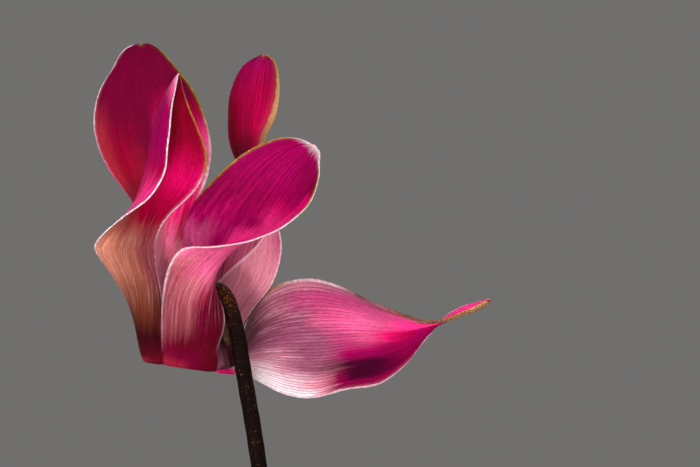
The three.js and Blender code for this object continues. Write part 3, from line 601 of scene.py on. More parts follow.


# How each face of a petal is coloured. A number is a place across the petal, and its text gives the
# colours along it there, each with its row, or with the two rows between which it holds. Row 0 is the
# first row above the mouth. "left" and "right" are the margins' colours, whose white and blush are a
# painted rim highlight, "rim_widths" the margins' widths in millimetres, "rim_taper" two rows and the
# share of its width that a margin falls to between them, and "speckle" the colour of its flecks.
# "veins": colour and strength. "streaks": colour, strength, first and last row. "lines", for dark
# lines: their number, strength, first and last row.
# "fold", where the petal turns over: its row at the left margin, its slope, its last row, and the
# colours of the painted shade past it and of the painted highlight on its crease.
# At the foot of each face, here and in PLAIN_FACES, the maroon, black_red, plum and dusk are painted
# shade in the mouth of the bloom, over the petals' own darker base.
MAIN_FACES = {
    # In front_outer and left_outer, the garnet at rows -1.2 and -1.3 is a painted highlight on the lip
    # of the mouth.
    "front_outer": {
        0.03: "garnet -1.2, claret 0.3, dull_rose 1:2.2, faded 2.9, dusty 3.4, candy 4.2:5, "
              "cerise 9.6, white 10.5",
        0.34: "garnet -1.2, wine -0.4, maroon 0.4, dull_rose 1.1, faded 1.8, dusty 2.5, candy 3.1:4.8, "
              "cerise 9.6, white 10.5",
        0.58: "claret -1, maroon 0.6, wine 1.5, garnet 2.1, shade 2.6, candy 3.1:4.8, hot_pink 5.4, "
              "cerise 9.6, white 10.5",
        0.78: "maroon -1:1.7, wine 2.2, crimson 2.6, hot_pink 3, candy 3.6:4.8, cerise 5.4:10, "
              "white 10.6",
        0.97: "maroon -1:0.8, wine 2.1, cerise 2.7, hot_pink 3.6, crimson 5",
        "left": "maroon 0, mauve 1, blush 3.4, white 10",
        "right": "maroon 0, blush 1.2:9",
        "rim_widths": (0.45, 0.45), "veins": ("wine", 0.2), "streaks": ("blush", 0.14, 1.2, 3.4),
    },
    "front_inner": {
        0.1: "maroon 2, cerise 4.2, hot_pink 6:6.9, cerise 7.6:8.2, wine 8.6, beet 9.4, blush 10.2",
        0.22: "maroon 2, magenta 4.2, hot_pink 5.6:6.3, cerise 7, magenta 7.7, beet 8.6, magenta 9.6, "
              "blush 10.2",
        0.38: "maroon 2, cerise 4.2, hot_pink 5:6.2, cerise 6.8, magenta 7.4, beet 8.9, magenta 9.6, "
              "blush 10.3",
        0.6: "maroon 2, hot_pink 4.1:5, magenta 5.6, beet 6.9, magenta 7.7:9.5, white 10.3",
        0.8: "maroon 2, magenta 4.2:5.5, beet 6.6, magenta 8:9.5, white 10.3",
        0.95: "maroon 2, orchid 4.2:5, magenta 5.6, beet 6.3, magenta 8:9.4, white 10.1",
        "left": "maroon 0, white 3:7.4, olive 7.9:9.6, white 10.2",
        "right": "maroon 0, orchid 4, cerise 6, olive 6.8:9.4, white 10.1",
        "rim_widths": (0.45, 0.3), "veins": ("plum", 0.3), "lines": (24, 0.5, 6, 10),
        "streaks": ("hot_pink", 0.2, 3, 6.4),
    },
    "left_outer": {
        # The umber, clay_pink and peach low on this face are a painted warm highlight.
        0.05: "black_red -2.2, garnet -1.3, maroon -0.8, black_red 0.5, umber 1.4, clay_pink 2, "
              "peach 3.2:5, crimson 8",
        0.5: "black_red -2.2, garnet -1.3, maroon -0.8, black_red 0.6, umber 1.7, clay_pink 3:4.6, "
             "ox_blood 5.5, crimson 7.4, ox_blood 8.6, garnet 10.4",
        0.95: "maroon -1, black_red 0.7, umber 1.9, faded 3:4.4, ox_blood 5.4, crimson 6.4, "
              "cerise 7.4, crimson 8.4, ox_blood 9.2",
        "left": "maroon 0, salmon 2, white 5:12",
        "right": "maroon 0, blush 3:7.4, olive 8:10.9, faded 11.3",
        "rim_widths": (0.26, 0.3), "veins": ("wine", 0.2), "streaks": ("blush", 0.16, 1.6, 5),
    },
    "left_inner": {
        0.0: "maroon 3, rose 5, hot_pink 6:7.3, crimson 8, magenta 8.8:10.4, candy 11.2, white 11.8",
        0.4: "maroon 3, rose 5.2, cerise 6, crimson 7.2, magenta 8.2:11, cerise 12",
        "left": "maroon 0, white 4:12",
        "right": "maroon 0, olive 5:12",
        "rim_widths": (0.22, 0.22), "veins": ("plum", 0.3), "streaks": ("candy", 0.2, 5, 7),
    },
    "back_left_outer": {
        0.02: "maroon 0, garnet 4, rust 6:7.6, wine 8.6:11, magenta 12",
        0.22: "maroon 0, wine 4, garnet 5.2, ox_blood 6.4, claret 8:11, beet 12",
        0.5: "maroon 0, pale_mauve 1.8:3, soft_pink 4.2, garnet 5.4, claret 7:12",
        0.8: "maroon 0, pale_mauve 1.6, soft_pink 3.2, rose 4, cerise 4.6, hot_pink 5.4, candy 7, "
             "hot_pink 7.6, crimson 8.2, wine 8.9, claret 12",
        0.92: "maroon 0, pale_mauve 1.6, soft_pink 3.2, dusty 3.7, garnet 4, crimson 4.6, cerise 5.6, "
              "candy 7, hot_pink 7.6, crimson 8.2, wine 8.9, claret 12",
        "left": "maroon 0, cerise 4, rose 6.4, blush 7.6:12",
        "right": "maroon 0, hot_pink 2:5, blush 5.6:7.4, olive 8.6:12",
        "rim_widths": (0.34, 0.5), "veins": ("maroon", 0.16), "streaks": ("rose", 0.35, 2, 5),
    },
    "back_left_inner": {
        0.0: "maroon 0, crimson 3, magenta 7, cerise 12",
        1.0: "maroon 0, cerise 3, magenta 7:12",
        "left": "maroon 0, blush 3:12",
        "right": "maroon 0, blush 3, olive 8",
        "rim_widths": (0.45, 0.45), "veins": ("plum", 0.6), "streaks": ("hot_pink", 0.3, 3, 10),
    },
    "back_right_outer": {
        0.1: "maroon 0, wine 4, crimson 6, ox_blood 8:9.4, beet 10.6:12",
        0.45: "maroon 0, wine 4, cerise 6, crimson 8:9.4, magenta 10.8, purple 12",
        # The ruby at rows 6.6 to 8.6 is painted light: it brightens this face where it turns away from
        # the lamps.
        0.72: "maroon 0, wine 4, ruby 6.6:8.6, crimson 9.6, beet 11",
        "left": "maroon 0, wine 5, orchid 8, blush 12",
        "right": "maroon 0, tan 5:9.4, olive 12",
        "rim_widths": (0.3, 1.5), "rim_taper": (7.6, 11.4, 0.35), "speckle": "umber",
        "veins": ("wine", 0.22), "streaks": ("hot_pink", 0.1, 7, 12),
    },
    "back_right_inner": {
        0.0: "dusk 0, mauve 2, pale_mauve 3.4, orchid 4.6, pale_mauve 5.6, cerise 7, magenta 12",
        0.5: "dusk 0, mauve 1.8, pale_mauve 3:5, cerise 6.6, magenta 12",
        1.0: "dusk 0, mauve 2, pale_mauve 4, crimson 6.6, magenta 12",
        "left": "dusk 0, blush 3:12",
        "right": "dusk 0, blush 2, tan 5:12",
        "rim_widths": (0.35, 0.35), "veins": ("dusk", 0.16), "streaks": ("blush", 0.16, 0, 5),
        # The fold is painted: shade past the turn-over line and a pale highlight on its crease.
        "fold": (5.9, -3.125, 6.4, "shade", "blush"),
    },
    "right_outer": {
        0.45: "cerise -2, magenta 0.6, maroon 1.4, crimson 3, cerise 7, hot_pink 8.6:11",
        0.7: "maroon 0, crimson 3, cerise 6.6, olive 7.8, tan 10, brown 11",
        "left": "cerise 0, blush 1:12",
        "right": "maroon 0, brown 3:9, umber 12",
        "rim_widths": (0.4, 0.8), "veins": ("wine", 0.4), "streaks": ("hot_pink", 0.3, 2, 10),
    },
    "right_inner": {
        # The white and blush in the low rows near the left margin are a painted highlight.
        0.02: "cerise -1:0.2, white 0.7:2.9, pale_mauve 3.3, beet 3.8:5, magenta 6.4, mauve 8",
        0.14: "mauve -1, blush 0.4, white 1.1, blush 2.4, pale_mauve 3.1, beet 3.7, night 4.2:4.8, "
              "plum 5.4, beet 6.2, magenta 6.8",
        0.28: "mauve -1, blush 0.6:1.2, mauve 2, slate_rose 2.6, dusk 3.3, night 4:4.8, plum 5.2, "
              "beet 5.9, magenta 6.8",
        0.4: "dusk -1, mauve 0.6:1.8, slate_rose 2.5:3.2, magenta 3.9:4.7, beet 5.4, magenta 6.6:7.6",
        0.56: "dusk -1, slate_rose 0.6:3, orchid 3.7, shade 4.5, cerise 5.4, crimson 6, magenta 6.6, "
              "crimson 7.4, brown 8.4",
        0.7: "dusk -1:0.6, slate_rose 1.6:2.5, shade 3.1, candy 4.2, shade 5, hot_pink 5.8:7, brown 8.4",
        0.86: "dusk -1:0.6, mauve 1.6, orchid 2.4:5.4, hot_pink 7, brown 8",
        0.96: "dusk -1:0.6, mauve 1.6:2.8, slate_rose 4, dusk 5.2, brown 6, tan 10",
        "left": "cerise 0, white 1, blush 3:12",
        "right": "brown 0, tan 1.8, blush 2.4:3.6, brown 4.4, dusty 5, brown 6, tan 12",
        "rim_widths": (0.4, 0.8), "veins": ("plum", 0.14), "lines": (36, 0.62, 0.2, 4.4),
        "streaks": ("blush", 0.3, 0.4, 2.6),
    },
}

PLAIN_FACES = {
    "plain_outer": {
        0.1: "plum -1, wine 0.5, dusty 1.4, cerise 2.6, crimson 5, magenta 8",
        0.9: "plum -1, wine 0.9, dusty 2, crimson 3.4:5, wine 8",
        "left": "maroon 0, blush 1, white 8",
        "right": "maroon 0, blush 2, olive 5:8",
        "rim_widths": (0.45, 0.45), "veins": ("wine", 0.4), "streaks": ("blush", 0.3, 0.8, 3),
    },
    "plain_inner": {
        0.0: "maroon 0, cerise 1.4, magenta 4, cerise 6, hot_pink 8",
        1.0: "maroon 0, rose 1.4, magenta 4:8",
        "left": "maroon 0, rose 1, blush 8",
        "right": "maroon 0, rose 2:8",
        "rim_widths": (0.3, 0.3), "veins": ("plum", 0.5), "streaks": ("hot_pink", 0.3, 1, 7),
    },
}


def colour_stops(text):
    """The (row, colour) stops in a text such as "maroon 0, candy 3.6:4.8"."""
    stops = []
    for item in text.split(", "):
        colour, rows = item.split()
        stops += [(float(row), colour) for row in rows.split(":")]
    return stops


def petal_material(name, face, rows, seed):
    """A satin petal face: colours along and across it, veins along it, margins with a painted rim
    highlight.
    """
    shader = Shader(name, 0.6, 0.03)
    ease, mix, times = shader.ease, shader.mix, shader.times
    u, v, _ = shader.split(shader.place("UV"))
    margin = shader.marks()[0]
    total = THROAT_ROWS + rows

    def at(row):
        return (row + THROAT_ROWS) / total

    def ramp(value, text):
        return shader.ramp(value, [(at(row), colour) for row, colour in colour_stops(text)])

    def grain(across, up, extra=0.0, *settings):
        return shader.grain(u, v, across, up, seed + extra, *settings)

    def between(first, last):
        rises = ease(v, at(first - 0.5), at(first + 0.6))
        return times(rises, ease(v, at(last + 1.0), at(last - 0.6)))

    along = shader.stray(v, grain(30.0, 5.0), 0.07)
    wander = shader.stray(u, grain(5.0, 7.0), 0.16)
    columns = [(place, ramp(along, text)) for place, text in face.items() if isinstance(place, float)]
    colour = columns[0][1]
    for (low, _), (high, beside) in zip(columns, columns[1:]):
        colour = mix(ease(wander, low, high), colour, beside)

    vein_tint, vein_strength = face["veins"]
    veins = grain(50.0, 5.0, 3.1, 3.0, 0.55, 0.15)
    colour = mix(ease(veins, 0.48, 0.62, 0.0, vein_strength), colour, vein_tint)
    pale_tint, pale_strength, first, last = face["streaks"]
    pale = grain(40.0, 15.0, 7.7, 4.0, 0.6, 0.2)
    streaks = times(ease(pale, 0.46, 0.72, 0.0, pale_strength), between(first, last))
    colour = mix(streaks, colour, pale_tint)
    colour = shader.scaled(colour, ease(pale, 0.3, 0.7, 0.88, 1.14))
    if "lines" in face:
        count, line_strength, first, last = face["lines"]
        swing = times(grain(4.0, 5.0), 6.0)
        wave = shader.math("SINE", shader.plus(times(u, 2 * math.pi * count), swing))
        thin = times(ease(wave, 0.6, 0.95), ease(pale, 0.3, 0.46))
        thin = times(thin, between(first, last))
        colour = mix(times(thin, line_strength), colour, vein_tint)
    cells = grain(130.0, 90.0, 0.0, 2.0, 0.7)
    colour = shader.scaled(colour, ease(cells, 0.3, 0.7, 0.78, 1.2))

    # Painted shade past the fold, where the petal turns over, and a painted highlight along its crease.
    if "fold" in face:
        start, slope, last, shade, line = face["fold"]
        row = shader.minus(times(v, float(total)), float(THROAT_ROWS))
        past = shader.minus(row, shader.plus(times(u, slope), start))
        shaded = mix(ease(veins, 0.35, 0.65), shade, "dusk")
        low = ease(row, last + 1.0, last - 0.4)
        colour = mix(times(ease(past, 0.0, 0.06), low), colour, shaded)
        crease = ease(shader.math("ABSOLUTE", past), 0.05, 0.1, 0.7, 0.0)
        colour = mix(times(crease, low), colour, line)

    # The margins' colours: their white and blush are a painted rim highlight.
    rim = mix(ease(u, 0.45, 0.55), ramp(v, face["left"]), ramp(v, face["right"]))
    flecks = grain(40.0, 150.0)
    rim = shader.scaled(rim, ease(flecks, 0.35, 0.62, 0.68, 1.1))
    if "speckle" in face:
        rim = mix(ease(flecks, 0.56, 0.66, 0.0, 0.75), rim, face["speckle"])
    width, right_width = face["rim_widths"]
    if width != right_width:
        width = ease(u, 0.45, 0.55, width, right_width)
    if "rim_taper" in face:
        first, last, share = face["rim_taper"]
        width = times(width, ease(v, at(first), at(last), 1.0, share))
    ragged = shader.stray(margin, grain(14.0, 90.0), 0.6)
    measured = shader.math("DIVIDE", ragged, width)
    colour = mix(ease(measured, 0.8, 1.12, 0.92, 0.0), colour, rim)
    # A faint glow of the margin colour that fades out three widths in: a painted highlight where it is
    # white or blush.
    colour = mix(ease(measured, 0.4, 3.0, 0.12, 0.0), colour, rim)
    shader.colour(colour)
    shader.bump(shader.plus(times(cells, 0.6), veins), 0.0003, 0.7)
    return shader.material


# --- Flowers: where each hangs, and its stem's way up to it ----------------

PLAIN_HOOK = [
    (0, -13.2, 3.5), (0, -10.4, 9.6), (0, -6.2, 13.4), (0, -2.2, 13.6), (0, -0.2, 12.0), (0, 0, 10.2),
]
MAIN_HOOK = [
    (12.6, -12.8, -18.5), (11.3, -12.0, -9.7), (9.8, -10.4, -1.6), (9.0, -8.6, 3.4),
    (8.5, -7.4, 6.1), (7.7, -6.3, 9.0), (6.9, -5.2, 11.5), (5.2, -3.5, 13.4),
    (3.3, -1.5, 13.3), (2.0, -0.3, 12.0), (1.4, 0, 10.2),
]

# "place": the middle of the mouth. "turn" and "tilt": degrees about the Z axis and away from it. "foot":
# where the stem stands round the crown, which way it leans and by how much. "way": points up the stem.
# "length" and "flare": the petals' share of their full length, and how far their tips spread.
FLOWERS = {
    "bloom_main": {
        "place": (-33, 0, 272), "turn": 0, "tilt": 8, "foot": (-50, 205, 9),
        "way": [(-1.0, -7.0, 130), (-8.4, -10.0, 170), (-14.8, -12.0, 215)],
    },
    "bloom_right": {
        "place": (66, -12, 194), "turn": -100, "tilt": 6, "foot": (12, 0, 6),
        "way": [(11, 1, 140), (18, 0, 166), (32, -4, 181), (47, -8, 188)],
        "length": 0.98, "flare": 3,
    },
    "bloom_back": {
        "place": (-34, 54, 186), "turn": 32, "tilt": -5, "foot": (152, 125, 6),
        "way": [(-8, 8, 138), (-12, 15, 162), (-18, 27, 174), (-25, 39, 180)],
        "length": 0.92, "flare": 1,
    },
    "bud_front": {
        "place": (-29, -54, 198), "turn": 154, "tilt": 12, "foot": (232, 243, 8),
        "way": [(-8, -15, 150), (-13, -24, 174), (-20, -37, 190)],
    },
    "bud_back": {
        "place": (-5, 49, 200), "turn": 6, "tilt": -8, "foot": (82, 96, 7),
        "way": [(-2, 13, 140), (-5, 20, 166), (-5, 30, 186)],
    },
}

# The stems' materials, by their index in a shell.
STEM, HAIR, CALYX = range(3)

# The stems. STEM_SHARE keeps them within the CAD stems, their unevenness included.
STEM_SEAT_Z = 94.5
FOOT_LENGTHS = (0, 8, 15)
STEM_SEAT_RADIUS = 6
STEM_RADIUS = 1.5
STEM_SHARE = 0.96
STEM_SIDES = 18
STEM_STEP = 0.8

# The hairs: how many for each step of the stem, the step they start at, and their size.
HAIRS_PER_STEP = 7
HAIR_START = 24
HAIR_LENGTH = 0.26
HAIR_WIDTH = 0.028
HAIR_ROOT = 0.12
HAIR_SIDE = (0.2, 0.1, 0.97)


def stem_foot(seat_azimuth, lean_azimuth, lean, seat_radius):
    """The straight foot of a stem: its seat in the crown, a point above that, and one clear of it."""
    seat = polar(seat_azimuth, seat_radius, STEM_SEAT_Z)
    direction = polar(lean_azimuth, math.sin(math.radians(lean)), math.cos(math.radians(lean)))
    return [seat + direction * length for length in FOOT_LENGTHS]


def flower_place(flower):
    """Puts points of a bloom or bud, whose own origin is the middle of the mouth, where it hangs."""
    turned = turn_z(flower["turn"]) @ turn_y(flower["tilt"])
    return lambda points: np.asarray(points, float) @ turned.T + np.array(flower["place"])


def stem_path(flower, name):
    """A flower stem's points from its seat in the crown, over its hook and down to its calyx."""
    foot = stem_foot(*flower["foot"], STEM_SEAT_RADIUS)
    if name == "bloom_main":
        hook = np.array(MAIN_HOOK) + np.array(flower["place"])
    else:
        hook = flower_place(flower)(PLAIN_HOOK)
    return np.concatenate([foot, flower["way"], hook])


def add_hairs(shell, rings, path, random):
    """Short, fine hairs that stand on a stem above its foot."""
    for pick in random.random(len(path) * HAIRS_PER_STEP):
        i = int(HAIR_START + pick * (len(path) - 2 - HAIR_START))
        root = rings[i, int(random.integers(STEM_SIDES))]
        out = unit(root - path[i])
        lean = unit(out + 0.5 * random.normal(size=3))
        across = unit(np.cross(lean, HAIR_SIDE)) * HAIR_WIDTH
        other = np.cross(lean, across)
        reach = HAIR_LENGTH * (0.5 + random.random())
        base = root - out * HAIR_ROOT
        back = base - across * 0.5
        corners = [base + across, back + other, back - other, base + lean * reach]
        shell.add(corners, [(0, 2, 1), (0, 1, 3), (1, 2, 3), (2, 0, 3)], HAIR)


def add_stem(shell, flower, name, random):
    """The hooked stem, round and finely uneven, with its hairs."""
    path, length = even_path(stem_path(flower, name), STEM_STEP)
    angles, up = full_turn(STEM_SIDES), length[:, None]
    uneven = 1 + 0.02 * np.sin(up * 1.3 + 2 * angles) + 0.02 * np.sin(up * 0.37 + 3 * angles)
    rings = tube_rings(path, STEM_RADIUS * STEM_SHARE * uneven)
    points, faces = skin(rings, path[0], path[-1])
    to_calyx = np.repeat(length[-1] - length, STEM_SIDES)
    shell.add(points, faces, STEM, marks=first_mark(np.append(to_calyx, [0, 0])))
    add_hairs(shell, rings, path, random)


PISTIL = [
    (0.1, -0.7), (0.55, -0.6), (0.7, -0.3), (0.55, 0.1), (0.6, 2.4), (0.7, 5.6), (1.5, 6.0), (2.0, 6.8),
    (2.1, 8.2), (2.1, 9.2), (3.0, 9.6), (3.1, 10.0), (3.0, 10.4), (1.9, 11.4), (0.3, 11.8),
]
BUD_CORE = [(0.3, 9.4), (2.4, 9.4), (3.0, 9.8), (3.0, 10.4), (1.9, 11.4), (0.3, 11.8)]
PISTIL_SIDES = 24

# The calyx as (radius, height), where the stem ends and where the sepals part.
CALYX_TOP = (2.4, 10.2)
CALYX_CUP = (5.6, 8.3)
CALYX_SIDES = 90
CALYX_RINGS = 13
SEPALS = 5
SEPAL_THICKNESS = 0.55


def add_calyx(shell, place, open_bloom):
    """The ovary and style in the middle, and the five pointed sepals that cup the tube."""
    rings = turned_rings(PISTIL if open_bloom else BUD_CORE, PISTIL_SIDES)
    points, faces = skin(rings, rings[0].mean(axis=0), rings[-1].mean(axis=0))
    shell.add(place(points), faces, CALYX if open_bloom else STEM)
    azimuths = np.arange(CALYX_SIDES) * 360 / CALYX_SIDES
    pointed = (0.5 + 0.5 * np.cos(np.radians(azimuths * SEPALS))) ** 1.3
    spread, reach = 0.3 + 0.8 * pointed, 1.2 + 2.7 * pointed
    (top_radius, top), (cup_radius, cup) = CALYX_TOP, CALYX_CUP
    rows = []
    for t in np.linspace(0, 2, CALYX_RINGS):
        closed, free = min(t, 1), max(t - 1, 0)
        ribs = 0.06 * np.cos(np.radians(azimuths * 3 * SEPALS)) * t
        radius = top_radius + (cup_radius - top_radius) * closed + spread * free
        height = top - (top - cup) * closed**2 - reach * free
        rows.append([round_bloom(*point) for point in zip(azimuths, radius + ribs, height)])
    points, front, back, edge = sheet(np.array(rows), SEPAL_THICKNESS, wrap=True)
    shell.add(place(points), front + back + edge, CALYX)


# --- Buds ------------------------------------------------------------------

BUD_PROFILE = [
    (3.0, 8.8), (4.4, 8.0), (5.1, 5.6), (5.4, 1), (6.3, -5), (6.0, -11), (3.9, -18), (1.4, -24),
]
BUD_TIP = -26
BUD_TWIST = 150
BUD_TWIST_START = 5
BUD_SIDES = 100
BUD_STEPS = 9


def add_bud(shell, place):
    """A closed bud whose five petals wrap round it in a spiral."""
    profile = catmull_rom(BUD_PROFILE, [BUD_STEPS] * (len(BUD_PROFILE) - 1))[::-1]
    radius, height = profile.T[:, :, None]
    angles = full_turn(BUD_SIDES)
    below = np.clip((BUD_TWIST_START - height) / (BUD_TWIST_START - BUD_TIP), 0, 1)
    phase = 5 * angles
    lap = np.cos(phase + 0.55 * np.sin(phase)) + 0.18 * np.cos(3 * phase)
    radius = radius * (1 + 0.12 * np.minimum(1, 4 * below) * lap)
    around = angles + np.radians(BUD_TWIST) * below
    rings = np.stack([radius * np.sin(around), -radius * np.cos(around), height + 0 * around], axis=-1)
    points, faces = skin(rings, [0, 0, BUD_TIP], [0, 0, BUD_PROFILE[0][1]])
    uvs = flat(np.stack(np.broadcast_arrays(angles / (2 * math.pi), below), axis=-1))
    laps = np.append(np.broadcast_to(lap, radius.shape), [0, 0])
    shell.add(place(points), faces, 0, np.concatenate([uvs, [[0, 1], [0, 0]]]), first_mark(laps))


def bud_material():
    """Furled petals: pale at the folds' crests, with painted shade in the folds, deeper towards the tip.
    """
    shader = Shader("bud", 0.5, 0.2)
    u, v, _ = shader.split(shader.place("UV"))
    lap = shader.marks()[0]
    stops = [(0.0, "garnet"), (0.2, "dusty"), (0.6, "rose"), (0.85, "cerise"), (1.0, "magenta")]
    # Painted shade: the folds between the laps darken to wine.
    colour = shader.mix(shader.ease(lap, 0.3, -1.0), shader.ramp(v, stops), "wine")
    lines = shader.grain(u, v, 70.0, 5.0, 0.0, 4.0)
    shader.colour(shader.mix(shader.ease(lines, 0.5, 0.7, 0.0, 0.5), colour, "magenta"))
    shader.bump(lines, 0.0002, 0.6)
    return shader.material


# --- Leaves ----------------------------------------------------------------

# Each leaf: the direction it points, how far out and how high its stalk meets the blade, the blade's
# size, its downward tilt, the stalk's lean in the crown, and the phase of the blade's waves.
LEAVES = {
    "leaf_low_1": (12, 74, 127, 51, 26, 34, 0.4),
    "leaf_low_2": (84, 71, 124, 48, 29, 34, 1.9),
    "leaf_low_3": (156, 75, 129, 52, 25, 34, 3.1),
    "leaf_low_4": (228, 72, 125, 49, 28, 34, 4.4),
    "leaf_low_5": (300, 76, 126, 51, 27, 34, 5.6),
    "leaf_mid_1": (48, 48, 158, 41, 17, 20, 2.5),
    "leaf_mid_2": (119, 50, 162, 40, 19, 20, 0.9),
    "leaf_mid_3": (192, 47, 151, 43, 16, 20, 5.1),
    "leaf_mid_4": (265, 51, 163, 41, 18, 20, 3.7),
    "leaf_mid_5": (335, 50, 150, 42, 18, 20, 1.2),
    "leaf_top_1": (49, 31, 187, 31, 10, 9, 4.9),
    "leaf_top_2": (174, 32, 187, 32, 12, 9, 2.2),
    "leaf_top_3": (294, 31, 189, 30, 11, 9, 0.2),
}

# The leaves' materials, by their index in a shell.
BLADE_TOP, BLADE_UNDER, LEAF_STALK = range(3)

TEETH = 15
VEIN_PAIRS = 4.5
BLADE_SPOKES = 180
BLADE_RINGS = 22
BLADE_HALF_THICKNESS = 0.24
BLADE_UV_WIDTH = 2.6

# The leaf stalks. Each rises steeply from the crown, bends over halfway and nears its blade from below.
PETIOLE_SEAT_RADIUS = 10.5
PETIOLE_RADII = (1.65, 1.15, 1.35)
PETIOLE_SIDES = 12
PETIOLE_STEP = 1.6
PETIOLE_BEND = 0.66
APPROACH_OUT = 8
APPROACH_DOWN = 5
FIRST_SEAT_AZIMUTH = 15


def crown_azimuth(name):
    """Where a leaf's stalk stands round the crown: in the order of the leaves' directions."""
    order = sorted(LEAVES, key=lambda leaf: LEAVES[leaf][0])
    return FIRST_SEAT_AZIMUTH + order.index(name) * 360 / len(LEAVES)


def heart_radius(angle, size):
    """Half the heart's breadth at an angle from its tip, with rounded teeth and the stalk's cleft."""
    from_cleft = math.pi - np.abs(angle)
    shape = 0.62 + 0.33 * np.cos(angle / 2) ** 2 + 0.12 * np.exp(-((angle / 0.35) ** 2))
    teeth = 0.022 * np.cos(TEETH * angle + math.pi) * smoothstep(0, 0.5, from_cleft)
    return size * (shape + teeth) * (1 - 0.88 * np.exp(-((from_cleft / 0.13) ** 2)))


def blade(size, wave):
    """A blade's grid of points, with its place on the leaf and its vein pattern."""
    angles = np.linspace(-math.pi, math.pi, BLADE_SPOKES + 1)[:-1]
    outward = np.linspace(0.012, 1, BLADE_RINGS)[:, None] ** 0.8
    radius = outward * heart_radius(angles, size)
    fraction = radius / size
    x, y = radius * np.cos(angles), radius * np.sin(angles)
    droop = -0.17 * fraction**2 + 0.05 * np.abs(fraction * np.sin(angles))
    ripple = 0.045 * fraction**2 * np.sin(5 * angles + wave)
    bend = angles * (1 - 0.1 * fraction * np.sign(angles) * np.sin(angles))
    spoke = np.abs(np.sin(bend * VEIN_PAIRS))
    from_vein = radius * spoke / VEIN_PAIRS
    chevron = np.abs(np.sin((radius - 0.75 * from_vein) * 0.62))
    puff = 0.5 * np.sqrt(spoke) * smoothstep(0.1, 0.5, outward) * (1 - 0.5 * outward)
    quilt = 0.18 * chevron * smoothstep(0.2, 0.5, outward)
    z = size * (droop + ripple) + puff + quilt - 0.35
    uvs = np.stack([0.5 + x / size / BLADE_UV_WIDTH, 0.5 + y / size / BLADE_UV_WIDTH], axis=-1)
    marks = np.stack(np.broadcast_arrays(from_vein, chevron, outward), axis=-1)
    return np.stack([x, y, z], axis=-1), flat(uvs), flat(marks)


def add_blade(shell, size, wave, place):
    """The heart-shaped blade, closed at its middle."""
    surface, uvs, marks = blade(size, wave)
    rows, columns = surface.shape[:2]
    down = surface_normals(surface, wrap=True) * BLADE_HALF_THICKNESS
    upper, lower = surface - down, surface + down
    points = np.concatenate([flat(upper), flat(lower), [upper[0].mean(axis=0), lower[0].mean(axis=0)]])
    count = rows * columns
    last = count - columns
    top = grid_faces(rows, columns, True, flip=True)
    bottom = grid_faces(rows, columns, True, count)
    for column in range(columns):
        after = (column + 1) % columns
        top.append((2 * count, column, after))
        bottom.append((2 * count + 1, count + after, count + column))
        bottom.append((last + column, last + column + count, last + after + count, last + after))
    materials = [BLADE_TOP] * len(top) + [BLADE_UNDER] * len(bottom)
    uvs = np.concatenate([uvs, uvs, [[0.5, 0.5]] * 2])
    marks = np.concatenate([marks, marks, np.zeros((2, 3))])
    shell.add(place(points), top + bottom, materials, uvs, marks)


def add_leaf_stalk(shell, name):
    """The stalk from the crown to the blade, swollen a little where it joins."""
    azimuth, reach, height, _, _, lean, _ = LEAVES[name]
    seat = crown_azimuth(name)
    swing = (azimuth - seat + 180) % 360 - 180
    foot = stem_foot(seat, seat + 0.5 * swing, lean, PETIOLE_SEAT_RADIUS)
    crown = foot[-1]
    joint = polar(azimuth, reach, height)
    halfway = (crown + joint) / 2
    halfway[2] = crown[2] + (joint[2] - crown[2]) * PETIOLE_BEND
    approach = polar(azimuth, reach - APPROACH_OUT, height - APPROACH_DOWN)
    end = joint * 0.94 + approach * 0.06 - [0, 0, 0.5]
    path, length = even_path(foot + [halfway, approach, end], PETIOLE_STEP)
    radii = np.interp(length, [0, length[-1] * 0.93, length[-1]], PETIOLE_RADII)
    points, faces = skin(tube_rings(path, np.outer(radii, np.ones(PETIOLE_SIDES))), path[0], path[-1])
    around = np.tile(np.arange(PETIOLE_SIDES) / PETIOLE_SIDES, len(path))
    uvs = np.stack([around, np.repeat(length / length[-1], PETIOLE_SIDES)], axis=-1)
    shell.add(points, faces, LEAF_STALK, np.concatenate([uvs, [[0, 0], [0, 1]]]))


def leaf_upper_material():
    """Deep green with a silver marbled zone, pale veins and a lighter rim."""
    shader = Shader("leaf_upper", 0.52, 0.22)
    ease, mix, times = shader.ease, shader.mix, shader.times
    from_vein, chevron, outward = shader.marks()
    where = shader.place("UV")
    blotch = shader.noise(where, 9.0, 4.0, 0.6)
    fine = shader.noise(where, 90.0, 4.0, 0.7)
    green = mix(blotch, (20, 46, 24), (42, 84, 38))
    lobes = times(ease(from_vein, 0.0, 4.5), 0.1)
    reach = shader.minus(shader.stray(outward, blotch, 0.3), lobes)
    silver = times(ease(reach, 0.36, 0.46), ease(reach, 0.8, 0.7))
    patchy = times(silver, ease(fine, 0.3, 0.62, 0.35, 0.95))
    colour = mix(patchy, green, (150, 176, 146))
    colour = mix(ease(from_vein, 0.16, 0.62, 0.75, 0.0), colour, (142, 168, 118))
    twigs = times(ease(chevron, 0.05, 0.22, 0.4, 0.0), ease(outward, 0.1, 0.3))
    colour = mix(twigs, colour, (112, 146, 96))
    shader.colour(mix(ease(outward, 0.975, 1.0, 0.0, 0.7), colour, (120, 140, 84)))
    shader.bump(fine, 0.0004, 0.35)
    return shader.material


def leaf_under_material():
    """A dull crimson underside with greener veins."""
    shader = Shader("leaf_under", 0.6, 0.3)
    from_vein = shader.marks()[0]
    mottle = shader.noise(shader.place("UV"), 14.0, 4.0)
    colour = shader.mix(mottle, (104, 34, 50), (92, 78, 56))
    shader.colour(shader.mix(shader.ease(from_vein, 0.2, 0.9, 0.7, 0.0), colour, (132, 120, 82)))
    shader.bump(mottle, 0.0005, 0.4)
    return shader.material


